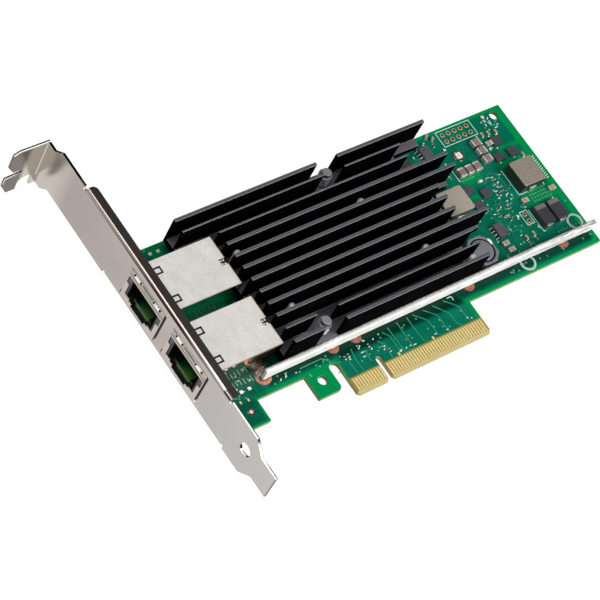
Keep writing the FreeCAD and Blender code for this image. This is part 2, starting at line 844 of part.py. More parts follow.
def build_housing(letter, centre):
    """Moulded block inside the shield, with the plug's cavity open at the front."""
    name = f"jack_housing_{letter}"
    half = D.jack_half - D.shield_thick
    front = D.jack_front + D.shield_thick
    back = D.jack_back - D.shield_thick - 0.5
    ceiling = D.jack_top - D.shield_thick
    width = across(centre, -half, half)
    nose = box(name + "_nose", (front, D.jack_nose_back), width,
               (D.jack_bottom + D.shield_thick, ceiling))
    rear = box(name + "_rear", (front, back), width, (D.part_lift, ceiling))
    cavity_x = (front - 1, front + D.plug_depth)
    tools = mouth_tools(name + "_mouth", centre, (front - 1, D.jack_nose_back))
    tools.append(box(name + "_cavity", cavity_x, across(centre, -D.plug_half, D.plug_half),
                     (D.plug_floor, D.plug_ceiling)))
    tools.append(box(name + "_latch_way", cavity_x, across(centre, -D.latch_half, D.latch_half),
                     (D.plug_floor - D.latch_drop, D.plug_ceiling)))
    for side, span in zip(("low", "high"), pipe_spans(centre)):
        tools.append(box(f"{name}_pipe_{side}", (front - 1, front + D.pipe_length), span,
                         (D.pipe_low, D.plug_ceiling)))
    node(name, cut(name, fuse(name + "_block", [nose, rear]), tools))


def build_jack_contacts(letter, centre):
    """Eight gold wires hanging from the cavity's ceiling towards the mouth."""
    name = f"jack_contacts_{letter}"
    root_x = D.jack_front + D.shield_thick + D.plug_depth
    wires = []
    for index in range(DIMENSIONS["wire_count"]):
        y = centre + (index - (D.wire_count - 1) / 2) * D.wire_pitch
        span = (y - D.wire_width / 2, y + D.wire_width / 2)
        tip_x = root_x - D.wire_length
        rail = box(f"{name}_rail_{index}", (tip_x, root_x), span,
                   (D.plug_ceiling - D.wire_thick, D.plug_ceiling))
        hook = box(f"{name}_hook_{index}", (tip_x, tip_x + D.wire_thick), span,
                   (D.plug_ceiling - D.wire_drop, D.plug_ceiling))
        wires.append(fuse(f"{name}_wire_{index}", [rail, hook]))
    group(name, wires)


def build_light_pipes():
    """Clear plastic light pipes in the upper corners of both mouths."""
    front = D.jack_front + D.shield_thick
    pipes = []
    for letter, centre in zip("ab", JACK_CENTRES):
        for side, span in zip(("low", "high"), pipe_spans(centre)):
            pipes.append(box(f"light_pipe_{letter}_{side}", (front, front + D.pipe_length), span,
                             (D.pipe_low, D.plug_ceiling)))
    group("jack_light_pipes", pipes)


def build_spring_fingers():
    """Bright spring fingers on the front lip of each shield."""
    fingers = []
    top = D.jack_top - D.finger_drop
    for letter, centre in zip("ab", JACK_CENTRES):
        for side, low in (("low", D.finger_low), ("high", D.finger_high)):
            fingers.append(box(f"finger_{letter}_{side}", (D.jack_front - D.finger_rise, D.jack_front),
                               across(centre, low, low + D.finger_length), (top - D.finger_width, top)))
    group("jack_spring_fingers", fingers)


# ---------------------------------------------------------------------------------------------
# Controller, thermal pad and heatsink
# ---------------------------------------------------------------------------------------------
def build_controller():
    """Controller package on its balls of solder, with a thermal pad on its lid."""
    substrate_top = D.chip_rise + D.chip_thick
    node("controller_substrate", block("controller_substrate", D.chip_x, D.chip_y,
                                       D.chip_side, D.chip_side, (D.chip_rise, substrate_top)))
    lid_top = D.sink_bottom - D.pad_thick
    node("controller_lid", block("controller_lid", D.chip_x, D.chip_y,
                                 D.lid_side, D.lid_side, (substrate_top, lid_top)))
    node("thermal_pad", block("thermal_pad", D.chip_x, D.chip_y,
                              D.lid_side - 1, D.lid_side - 1, (lid_top, D.sink_bottom)))


def sink_base_outline():
    """Heatsink base: a shelf past the jacks, and bays left open round three parts on the right."""
    front = D.fin_front_y - D.fin_thick / 2
    rear = D.fin_rear_y + D.fin_thick / 2
    return [
        (D.sink_left, front),
        (D.sink_short_right, front),
        (D.sink_short_right, D.drum_bay_high),
        (D.sink_right, D.drum_bay_high),
        (D.sink_right, D.coil_bay_low),
        (D.coil_bay_x, D.coil_bay_low),
        (D.coil_bay_x, D.coil_bay_high),
        (D.sink_right, D.coil_bay_high),
        (D.sink_right, D.crystal_bay_low),
        (D.crystal_bay_x, D.crystal_bay_low),
        (D.crystal_bay_x, D.crystal_bay_high),
        (D.sink_right, D.crystal_bay_high),
        (D.sink_right, rear),
        (D.sink_shelf_left, rear),
        (D.sink_shelf_left, D.sink_shelf_low),
        (D.sink_left, D.sink_shelf_low),
    ]


def fin_table():
    """Each fin's centre in Y, thickness, and left and right end, from the rear to the front."""
    left = D.sink_left
    long_right = D.sink_right
    short_right = D.sink_short_right
    fins = [
        (D.fin_rear_y, D.fin_thick, D.sink_shelf_left, long_right),
        (D.fin_second_y, D.fin_thin, D.sink_shelf_left, D.thin_fin_right),
        (D.fin_third_y, D.fin_thin, left, D.thin_fin_right),
    ]
    for step, right in enumerate((long_right, long_right, short_right, short_right, short_right,
                                  long_right, short_right)):
        fins.append((D.fin_middle_y - step * D.fin_pitch, D.fin_thick, left, right))
    fins.append((D.fin_eleventh_y, D.fin_thin, left, short_right))
    fins.append((D.fin_front_y, D.fin_thick, left, short_right))
    return fins


def build_heatsink():
    """Black anodised extrusion: base plate and twelve fins, milled away round two spring screws."""
    base = new_body("heatsink_base")
    plan = sketch_on(base, "base_outline", "XY_Plane", D.sink_bottom)
    outline(plan, sink_base_outline())
    pad(base, plan, D.sink_base_top - D.sink_bottom)
    pieces = [base]
    for number, (y, thick, left, right) in enumerate(fin_table(), start=1):
        pieces.append(box(f"fin_{number}", (left, right), (y - thick / 2, y + thick / 2),
                          (D.sink_base_top - 0.5, D.fin_top)))
    gap = D.screw_gap / 2
    rear_y = (D.fin_second_y - 1, D.fin_rear_y + 1)
    front_y = (D.fin_front_y - 1, D.fin_eleventh_y + 1)
    tools = []
    for name, (x, y), span in zip(("rear", "front"), SINK_SCREWS, (rear_y, front_y)):
        tools.append(box(f"screw_gap_{name}", (x - gap, x + gap), span,
                         (D.sink_base_top, D.fin_top + 1)))
        tools.append(cylinder(f"screw_bore_{name}", x, y, (D.sink_bottom - 1, D.fin_top),
                              D.screw_hole_radius))
    node("heatsink", cut("heatsink", fuse("heatsink_block", pieces), tools))


def spring(name, x, y, low, high):
    """A close-wound compression spring: a helix swept by its wire's section."""
    coil = doc.addObject("Part::Helix", name + "_path")
    bind(coil, "Pitch", D.spring_pitch)
    bind(coil, "Height", high - low - 2 * D.spring_wire)
    bind(coil, "Radius", D.spring_radius)
    wire = doc.addObject("Part::Circle", name + "_wire")
    bind(wire, "Radius", D.spring_wire)
    wire.Placement.Rotation = FreeCAD.Rotation(FreeCAD.Vector(1, 0, 0), 90)
    bind(wire, "Placement.Base.x", D.spring_radius)
    sweep = doc.addObject("Part::Sweep", name)
    sweep.Sections = [wire]
    sweep.Spine = (coil, [])
    sweep.Solid = True
    sweep.Frenet = True
    place(sweep, x, y, low + D.spring_wire)
    return sweep


def build_sink_fasteners():
    """Spring-loaded screws through the heatsink, with nuts on the board's solder face."""
    screws = []
    springs = []
    nuts = []
    head_low = D.screw_head_top - D.screw_head_thick
    collar_low = head_low - D.screw_collar_thick
    nut_z = (-D.board_thick - D.sink_nut_height, -D.board_thick)
    for name, (x, y) in zip(("rear", "front"), SINK_SCREWS):
        head = cylinder(f"sink_head_{name}", x, y, (head_low, D.screw_head_top), D.screw_head_radius)
        collar = cylinder(f"sink_collar_{name}", x, y, (collar_low, head_low),
                          D.spring_radius + D.spring_wire)
        shank = cylinder(f"sink_shank_{name}", x, y, (nut_z[0] - D.thread_end, head_low),
                         D.screw_radius)
        screws.append(fuse(f"sink_screw_{name}", [head, collar, shank]))
        springs.append(spring(f"spring_{name}", x, y, D.sink_base_top, collar_low))
        nuts.append(nut(f"sink_nut_{name}", x, y, nut_z, D.sink_nut_across, D.screw_radius))
    group("heatsink_screws", screws)
    group("heatsink_springs", springs)
    group("heatsink_nuts", nuts)


def build_sink_pins():
    """Bright pins with domed heads standing between the fins."""
    pins = []
    for number, (x, y) in enumerate(PLACES["pin"], start=1):
        post = cylinder(f"pin_post_{number}", x, y, (D.sink_base_top, D.pin_top), D.pin_radius)
        pins.append(rounded(f"pin_{number}", post, D.pin_dome,
                            lambda edge: abs(edge.BoundBox.ZMin - D.pin_top.value) < 1e-3))
    group("heatsink_pins", pins)


# ---------------------------------------------------------------------------------------------
# Stiffener bar and its solder pads
# ---------------------------------------------------------------------------------------------
def build_stiffener():
    """Plated bar along the board's lower edge, standing on feet soldered to copper pads."""
    foot_half = D.bar_foot_width / 2
    bar_middle = D.bar_front + D.bar_width / 2
    bar_y = (D.bar_front, D.bar_front + D.bar_width)
    pad_z = (0, D.solder_pad_thick)
    pieces = [box("bar_blade", (D.bar_left, D.bar_right), bar_y, (D.bar_low, D.bar_high))]
    pads = []
    for number, (x, offset) in enumerate(PLACES["bar_foot"], start=1):
        pieces.append(box(f"bar_foot_{number}", (x - foot_half, x + foot_half), bar_y,
                          (D.solder_pad_thick, D.bar_low + D.solder_pad_thick)))
        pads.append(cylinder(f"solder_pad_{number}", x, bar_middle + offset, pad_z,
                             D.solder_pad_radius))
    spare_x, spare_y = PLACES["spare_pad"][0]
    pads.append(cylinder("solder_pad_spare", spare_x, spare_y, pad_z, D.solder_pad_radius))
    node("stiffener_bar", fuse("stiffener_bar", pieces))
    group("solder_pads", pads)


# ---------------------------------------------------------------------------------------------
# Power inductors
# ---------------------------------------------------------------------------------------------
def build_moulded_coil(name, x, y, length, width, height):
    """Square moulded inductor on two clip terminals."""
    body = block(name + "_block", x, y, length, width, (D.coil_lift, height))
    node(name, rounded(name, body, D.coil_corner, upright))
    clips = []
    for side, sign in (("low", -1), ("high", 1)):
        edge = y + sign * width / 2
        outer = edge + sign * D.clip_thick
        span = (outer, edge) if sign < 0 else (edge, outer)
        wall = box(f"{name}_wall_{side}", (x - D.clip_width / 2, x + D.clip_width / 2), span,
                   (0, D.clip_height))
        inner = edge - sign * D.clip_reach
        sole_span = (outer, inner) if sign < 0 else (inner, outer)
        sole = box(f"{name}_sole_{side}", (x - D.clip_width / 2, x + D.clip_width / 2), sole_span,
                   (0, D.coil_lift))
        clips.append(fuse(f"{name}_clip_{side}", [wall, sole]))
    group(name + "_terminals", clips)


def build_drum_coil():
    """Shielded drum inductor: an octagonal ferrite ring and the drum inside it."""
    ring = new_body("drum_inductor_shield_body")
    plan = sketch_on(ring, "drum_outline", "XY_Plane", D.part_lift)
    half = D.drum_side / 2
    near = half - D.drum_corner
    octagon = [(-half, -near), (-near, -half), (near, -half), (half, -near),
               (half, near), (near, half), (-near, half), (-half, near)]
    outline(plan, [(D.drum_x + a, D.drum_y + b) for a, b in octagon])
    pad(ring, plan, D.drum_height - D.part_lift)
    bore = cylinder("drum_bore", D.drum_x, D.drum_y, (D.drum_floor, D.drum_height + 1),
                    D.drum_bore_radius)
    node("drum_inductor_shield", cut("drum_inductor_shield", ring, [bore]))
    node("drum_inductor_core", cylinder("drum_inductor_core", D.drum_x, D.drum_y,
                                        (D.drum_floor, D.drum_height), D.drum_core_radius))


# ---------------------------------------------------------------------------------------------
# Packaged parts
# ---------------------------------------------------------------------------------------------
def build_capacitors(name, places, long_side, short_side, height, cap):
    """Ceramic capacitors: a body between two metal end caps, long side along X or Y."""
    bodies = []
    caps = []
    z = (D.part_lift, height)
    for number, (x, y, along_x) in enumerate(places, start=1):
        half = long_side / 2
        for part, low, high in (("end_a", -half, -half + cap), ("middle", -half + cap, half - cap),
                                ("end_b", half - cap, half)):
            lengthwise = (low, high)
            crosswise = (-short_side / 2, short_side / 2)
            span_x, span_y = (lengthwise, crosswise) if along_x else (crosswise, lengthwise)
            piece = box(f"{name}_{part}_{number}", (x + span_x[0], x + span_x[1]),
                        (y + span_y[0], y + span_y[1]), z)
            (bodies if part == "middle" else caps).append(piece)
    group(name + "_bodies", bodies)
    group(name + "_end_caps", caps)


def build_all_capacitors():
    """The bulk capacitors of the power stage and the smaller ones round the board."""
    column_x, column_y = PLACES["bulk_column"][0]
    row_x, row_y = PLACES["bulk_row"][0]
    column = [(column_x, column_y - step * D.bulk_pitch, True) for step in range(3)]
    row = [(row_x + step * D.bulk_pitch, row_y, False) for step in range(3)]
    build_capacitors("bulk_capacitor", column + row,
                     D.bulk_long, D.bulk_short, D.bulk_height, D.bulk_cap)
    small = [(x, y, True) for x, y in PLACES["small_capacitor"]]
    build_capacitors("small_capacitor", small,
                     D.small_long, D.small_short, D.small_height, D.small_cap)


def build_regulators():
    """Flat leadless regulator packages beside the inductors."""
    chips = [block(f"regulator_{number}", x, y, D.regulator_long, D.regulator_short,
                   (D.part_lift, D.regulator_height))
             for number, (x, y) in enumerate(PLACES["regulator"], start=1)]
    group("regulator_chips", chips)


def build_memories():
    """Two eight-lead packages, each with four leads along either long side."""
    bodies = []
    leads = []
    for letter, (x, y) in zip("ab", PLACES["memory"]):
        bodies.append(block(f"memory_body_{letter}", x, y, D.memory_short, D.memory_long,
                            (D.part_lift, D.memory_height)))
        for side, sign in (("left", -1), ("right", 1)):
            edge = x + sign * D.memory_short / 2
            outer = edge + sign * D.lead_reach
            knee = edge + sign * D.lead_thick
            for place_in_row in range(4):
                lead_y = y + (place_in_row - 1.5) * D.lead_pitch
                span_y = (lead_y - D.lead_width / 2, lead_y + D.lead_width / 2)
                foot_x = (outer, edge) if sign < 0 else (edge, outer)
                knee_x = (knee, edge) if sign < 0 else (edge, knee)
                label = f"{letter}_{side}_{place_in_row}"
                foot = box(f"lead_foot_{label}", foot_x, span_y, (0, D.lead_thick))
                rise = box(f"lead_knee_{label}", knee_x, span_y, (0, D.memory_height / 2))
                leads.append(fuse(f"lead_{label}", [foot, rise]))
    group("memory_chip_bodies", bodies)
    group("memory_chip_leads", leads)


def build_tank_capacitors():
    """Moulded tank capacitors with a tin tab at each end."""
    bodies = []
    tabs = []
    for letter, (x, y) in zip("ab", PLACES["tank"]):
        half = D.tank_long / 2
        bodies.append(block(f"tank_body_{letter}", x, y, D.tank_short, D.tank_long,
                            (D.part_lift, D.tank_height)))
        tab_x = (x - D.tank_tab / 2, x + D.tank_tab / 2)
        tabs.append(box(f"tank_tab_{letter}_low", tab_x, (y - half - D.tank_tab_reach, y - half),
                        (0, D.tank_height / 2)))
        tabs.append(box(f"tank_tab_{letter}_high", tab_x, (y + half, y + half + D.tank_tab_reach),
                        (0, D.tank_height / 2)))
    group("tank_capacitor_bodies", bodies)
    group("tank_capacitor_tabs", tabs)


def build_clock_parts():
    """Clock oscillator and the metal crystal can in the heatsink's rear bay."""
    clock_x, clock_y = PLACES["clock"][0]
    node("clock_oscillator", block("clock_oscillator", clock_x, clock_y,
                                   D.clock_short, D.clock_long, (0, D.clock_height)))
    crystal_x, crystal_y = PLACES["crystal"][0]
    can = block("crystal_block", crystal_x, crystal_y, D.crystal_long, D.crystal_short,
                (0, D.crystal_height))
    node("crystal_can", rounded("crystal_can", can, D.coil_corner, upright))


# ---------------------------------------------------------------------------------------------
# Build, check and export
# ---------------------------------------------------------------------------------------------
def build_all():
    """Build every sub-part of the card."""
    build_circuit_board()
    build_edge_contacts()
    build_bracket()
    build_bracket_fasteners()
    for letter, centre in zip("ab", JACK_CENTRES):
        build_shield(letter, centre)
        build_housing(letter, centre)
        build_jack_contacts(letter, centre)
    build_light_pipes()
    build_spring_fingers()
    build_controller()
    build_heatsink()
    build_sink_fasteners()
    build_sink_pins()
    build_stiffener()
    build_moulded_coil("output_inductor", D.output_coil_x, D.output_coil_y,
                       D.output_coil_length, D.output_coil_width, D.output_coil_height)
    build_moulded_coil("covered_inductor", D.covered_coil_x, D.covered_coil_y,
                       D.covered_coil_length, D.covered_coil_width, D.covered_coil_height)
    build_drum_coil()
    build_all_capacitors()
    build_regulators()
    build_memories()
    build_tank_capacitors()
    build_clock_parts()


def check_document():
    """Stop before writing anything if an object failed or a sub-part's shape isn't sound."""
    doc.recompute()
    for thing in doc.Objects:
        if "Invalid" in thing.State or "Error" in thing.State:
            raise RuntimeError(f"{thing.Name} failed: {thing.State}")
    for thing in nodes:
        if thing.Shape.isNull() or not thing.Shape.isValid() or not thing.Shape.Solids:
            raise RuntimeError(f"{thing.Label} has no sound shape")


def export_nodes():
    """Write each sub-part to its own file."""
    os.makedirs("parts", exist_ok=True)
    for thing in nodes:
        thing.Shape.exportStep(os.path.join("parts", thing.Label + ".step"))
        span = thing.Shape.BoundBox
        print(f"{thing.Label}: {len(thing.Shape.Solids)} solids, "
              f"{span.XLength:.2f} x {span.YLength:.2f} x {span.ZLength:.2f} mm")


build_all()
check_document()
export_nodes()
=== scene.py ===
"""The finished look of a network interface card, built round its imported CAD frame.

Meshes are in metres in the card's own frame: +X runs along the card away from the slot bracket,
+Y from the gold fingers to the far long edge, and +Z out of the component face. Sizes in the
classes are in millimetres.
"""

from __future__ import annotations

import json
import logging
import math
import random
from dataclasses import dataclass
from enum import Enum
from typing import Any, ClassVar, Sequence

import bmesh
import bpy
from mathutils import Euler, Matrix, Vector

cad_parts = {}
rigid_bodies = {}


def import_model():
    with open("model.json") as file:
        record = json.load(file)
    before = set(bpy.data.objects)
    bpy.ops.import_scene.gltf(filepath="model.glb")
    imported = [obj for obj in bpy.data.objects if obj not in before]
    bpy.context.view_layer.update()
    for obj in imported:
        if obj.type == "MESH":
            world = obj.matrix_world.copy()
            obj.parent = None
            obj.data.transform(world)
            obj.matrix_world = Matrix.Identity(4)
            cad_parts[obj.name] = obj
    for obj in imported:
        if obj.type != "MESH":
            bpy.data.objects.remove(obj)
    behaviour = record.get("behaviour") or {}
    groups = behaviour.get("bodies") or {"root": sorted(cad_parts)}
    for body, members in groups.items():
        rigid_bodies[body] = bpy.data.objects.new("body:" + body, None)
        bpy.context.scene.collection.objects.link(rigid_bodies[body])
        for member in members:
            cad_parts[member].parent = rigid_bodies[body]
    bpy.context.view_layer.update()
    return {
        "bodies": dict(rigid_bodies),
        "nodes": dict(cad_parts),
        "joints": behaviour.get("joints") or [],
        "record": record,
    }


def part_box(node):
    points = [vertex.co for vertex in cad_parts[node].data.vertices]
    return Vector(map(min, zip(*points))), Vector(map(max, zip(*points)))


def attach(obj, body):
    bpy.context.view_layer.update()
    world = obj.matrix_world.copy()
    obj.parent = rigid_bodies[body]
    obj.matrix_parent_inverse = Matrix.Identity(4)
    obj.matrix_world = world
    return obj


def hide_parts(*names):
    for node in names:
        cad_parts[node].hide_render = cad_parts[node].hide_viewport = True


LOG = logging.getLogger("network_card")
MM = 0.001
BODY = "root"
Point = tuple[float, float]
Place = tuple[float, ...]
Area = tuple[float, float, float, float]
Form = bmesh.types.BMesh
Piece = bpy.types.Object
Socket = bpy.types.NodeSocket

# What a Math node is set to work out, and what a Mix node is set to blend.
TIMES, PLUS, MINUS = ({"operation": name} for name in ("MULTIPLY", "ADD", "SUBTRACT"))
LARGER, UNSIGNED, WAVE = ({"operation": name} for name in ("MAXIMUM", "ABSOLUTE", "SINE"))
TINT = {"data_type": "RGBA", "out": 2}


# ------------------------------------------------------------------------------------------------
# Shared helpers
# ------------------------------------------------------------------------------------------------
def linear(code: str) -> tuple[float, float, float, float]:
    """Turn an sRGB hex colour into a linear one.

    Args:
        code: The colour, such as "#1c6f4b".

    Returns:
        Red, green, blue and an alpha of one.
    """
    channels = [int(code[at:at + 2], 16) / 255 for at in (1, 3, 5)]
    straight = [c / 12.92 if c <= 0.04045 else ((c + 0.055) / 1.055) ** 2.4 for c in channels]
    return (straight[0], straight[1], straight[2], 1.0)


@dataclass
class Wiring:
    """A node tree under way, and a material's shader and coordinates where it has them."""

    tree: bpy.types.NodeTree
    shader: bpy.types.Node | None = None
    where: Socket | None = None
    stretched: Socket | None = None
    axes: Sequence[Socket] = ()

    def add(
        self, kind: str, *values: Any, at: dict[str | int, Any] | None = None, out: str | int = 0,
        **settings: Any,
    ) -> Socket | None:
        """Add a node with its settings, values and links.

        Args:
            kind: The node's type name, or what follows ShaderNode in it.
            values: What its first inputs get: a value, a hex colour or a socket to link from.
            at: The same for inputs by name or place.
            out: The output that is wanted.
            settings: Properties of the node itself.

        Returns:
            The wanted output, or None where the node has none.
        """
        made = self.tree.nodes.new(kind if "Node" in kind else "ShaderNode" + kind)
        for name, value in settings.items():
            setattr(made, name, value)
        for place, value in {**dict(enumerate(values)), **(at or {})}.items():
            if isinstance(value, bpy.types.NodeSocket):
                self.tree.links.new(value, made.inputs[place])
            else:
                coded = isinstance(value, str) and value.startswith("#")
                made.inputs[place].default_value = linear(value) if coded else value
        return made.outputs[out] if made.outputs else None

    def feed(self, name: str, socket: Socket) -> None:
        """Link a socket to one of the shader's inputs."""
        self.tree.links.new(socket, self.shader.inputs[name])


def grains(size_mm: float, detail: float = 3.0) -> dict[str, Any]:
    """Return the inputs of a noise whose features are about size_mm across."""
    return {"at": {"Scale": 1.0 / (size_mm * MM), "Detail": detail, "Roughness": 0.55}}


def object_from(name: str, data: bpy.types.ID) -> Piece:
    """Put a mesh, curve, camera or lamp into the scene as an object at the origin.

    Args:
        name: The object's name.
        data: What it shows.

    Returns:
        The object.
    """
    made = bpy.data.objects.new(name, data)
    bpy.context.scene.collection.objects.link(made)
    return made


def shade(mesh: bpy.types.Mesh, angle: float = 32.0) -> None:
    """Shade a mesh smooth, with edges sharper than the angle in degrees kept crisp."""
    mesh.shade_smooth()
    mesh.set_sharp_from_angle(angle=math.radians(angle))


def mesh_of(name: str, form: Form) -> bpy.types.Mesh:
    """Close a bmesh, which is freed, into a shaded mesh with its faces pointing outwards.

    Args:
        name: The mesh's name.
        form: The bmesh.

    Returns:
        The mesh.
    """
    bmesh.ops.recalc_face_normals(form, faces=form.faces)
    mesh = bpy.data.meshes.new(name)
    form.to_mesh(mesh)
    form.free()
    shade(mesh)
    return mesh


def evaluated(piece: Piece) -> bpy.types.Mesh:
    """Return what a piece's modifiers make of it, as a new mesh, and remove them.

    Args:
        piece: The mesh or curve object.

    Returns:
        The mesh.
    """
    bpy.context.view_layer.update()
    graph = bpy.context.evaluated_depsgraph_get()
    mesh = bpy.data.meshes.new_from_object(piece.evaluated_get(graph))
    piece.modifiers.clear()
    return mesh


def settle(piece: Piece, **modifiers: dict[str, Any]) -> Piece:
    """Run modifiers on a piece, so that it is a plain mesh again.

    Args:
        piece: The piece.
        modifiers: The settings of each modifier, by its type in Blender.

    Returns:
        The same piece.
    """
    for kind, settings in modifiers.items():
        made = piece.modifiers.new(kind.lower(), kind)
        for name, value in settings.items():
            setattr(made, name, value)
    piece.data = evaluated(piece)
    return piece


def break_edges(piece: Piece, width_mm: float, segments: int) -> Piece:
    """Break a plain piece's sharp edges, and keep its flat faces flat to the light.

    Args:
        piece: The piece.
        width_mm: How wide each broken edge is, or zero to leave them sharp.
        segments: Faces across each broken edge, or zero for one flat chamfer.

    Returns:
        The same piece, as a plain mesh.
    """
    bevel = {"width": width_mm * MM, "limit_method": "ANGLE", "use_clamp_overlap": True}
    flats = {"mode": "FACE_AREA", "keep_sharp": True}
    if not width_mm:
        shade(piece.data)
        return settle(piece, WEIGHTED_NORMAL={**flats, "weight": 100})
    if segments == 0:
        settle(piece, BEVEL={**bevel, "segments": 1, "angle_limit": math.radians(40)})
        piece.data.shade_flat()
        return piece
    piece.data.shade_smooth()
    rounded = {**bevel, "segments": segments, "angle_limit": math.radians(28), "harden_normals": True}
    return settle(piece, BEVEL=rounded, WEIGHTED_NORMAL={**flats, "weight": 90})


def softened(node: str, width_mm: float, segments: int) -> Piece:
    """Copy a CAD node's mesh and break its sharp edges, as a real part's are.

    Args:
        node: The CAD node.
        width_mm: How wide each broken edge is.
        segments: Faces across each broken edge.

    Returns:
        The copy, as a plain mesh.
    """
    form = bmesh.new()
    form.from_mesh(bpy.data.objects[node].data)
    bmesh.ops.remove_doubles(form, verts=form.verts, dist=1e-6)
    bmesh.ops.dissolve_limit(form, angle_limit=math.radians(1.0), verts=form.verts, edges=form.edges)
    mesh = bpy.data.meshes.new(node + "_look")
    form.to_mesh(mesh)
    form.free()
    mesh.materials.clear()
    return break_edges(object_from(node + "_look", mesh), width_mm, segments)


def add_box(form: Form, low: Sequence[float], high: Sequence[float]) -> None:
    """Add a box to a bmesh, from its lowest to its highest corner in millimetres.

    Args:
        form: The bmesh.
        low: Its lowest corner.
        high: Its highest corner.
    """
    middle = [(a + b) / 2 * MM for a, b in zip(low, high)]
    size = [abs(b - a) * MM for a, b in zip(low, high)]
    bmesh.ops.create_cube(form, size=1.0,
                          matrix=Matrix.Translation(middle) @ Matrix.Diagonal((*size, 1.0)))


def add_rings(form: Form, centre: Point, profile: Sequence[Point], steps: int) -> list[list[Any]]:
    """Add rings of corners round a vertical axis, and join each to the next.

    Args:
        form: The bmesh.
        centre: X and Y of the axis, in millimetres.
        profile: Radius and height of each ring, in millimetres.
        steps: Corners in each ring.

    Returns:
        The rings.
    """
    angles = [2 * math.pi * step / steps for step in range(steps)]
    rings = [[form.verts.new(((centre[0] + radius * math.cos(angle)) * MM,
                              (centre[1] + radius * math.sin(angle)) * MM, height * MM))
              for angle in angles] for radius, height in profile]
    for lower, upper in zip(rings, rings[1:]):
        join_rings(form, lower, upper)
    return rings


def join_rings(form: Form, lower: Sequence[Any], upper: Sequence[Any]) -> None:
    """Join two rings of as many corners by faces.

    Args:
        form: The bmesh.
        lower: The corners of the first ring.
        upper: The corners of the second.
    """
    for step, corner in enumerate(lower):
        after = (step + 1) % len(lower)
        form.faces.new((corner, lower[after], upper[after], upper[step]))


def add_lathe(form: Form, centre: Point, profile: Sequence[Point], steps: int = 24) -> None:
    """Turn a profile about a vertical axis, bottom first, and close its two ends.

    Args:
        form: The bmesh.
        centre: X and Y of the axis, in millimetres.
        profile: Radius and height of each ring, in millimetres.
        steps: Faces round the axis.
    """
    rings = add_rings(form, centre, profile, steps)
    form.faces.new(reversed(rings[0]))
    form.faces.new(rings[-1])


def add_prism(form: Form, outline: Sequence[Point], low: float, high: float) -> None:
    """Raise a flat outline into a prism, all in millimetres.

    Args:
        form: The bmesh.
        outline: The outline's corners, in order.
        low: Height of the floor.
        high: Height of the roof.
    """
    floor, roof = ([form.verts.new((x * MM, y * MM, z * MM)) for x, y in outline]
                   for z in (low, high))
    form.faces.new(list(reversed(floor)))
    form.faces.new(roof)
    join_rings(form, floor, roof)


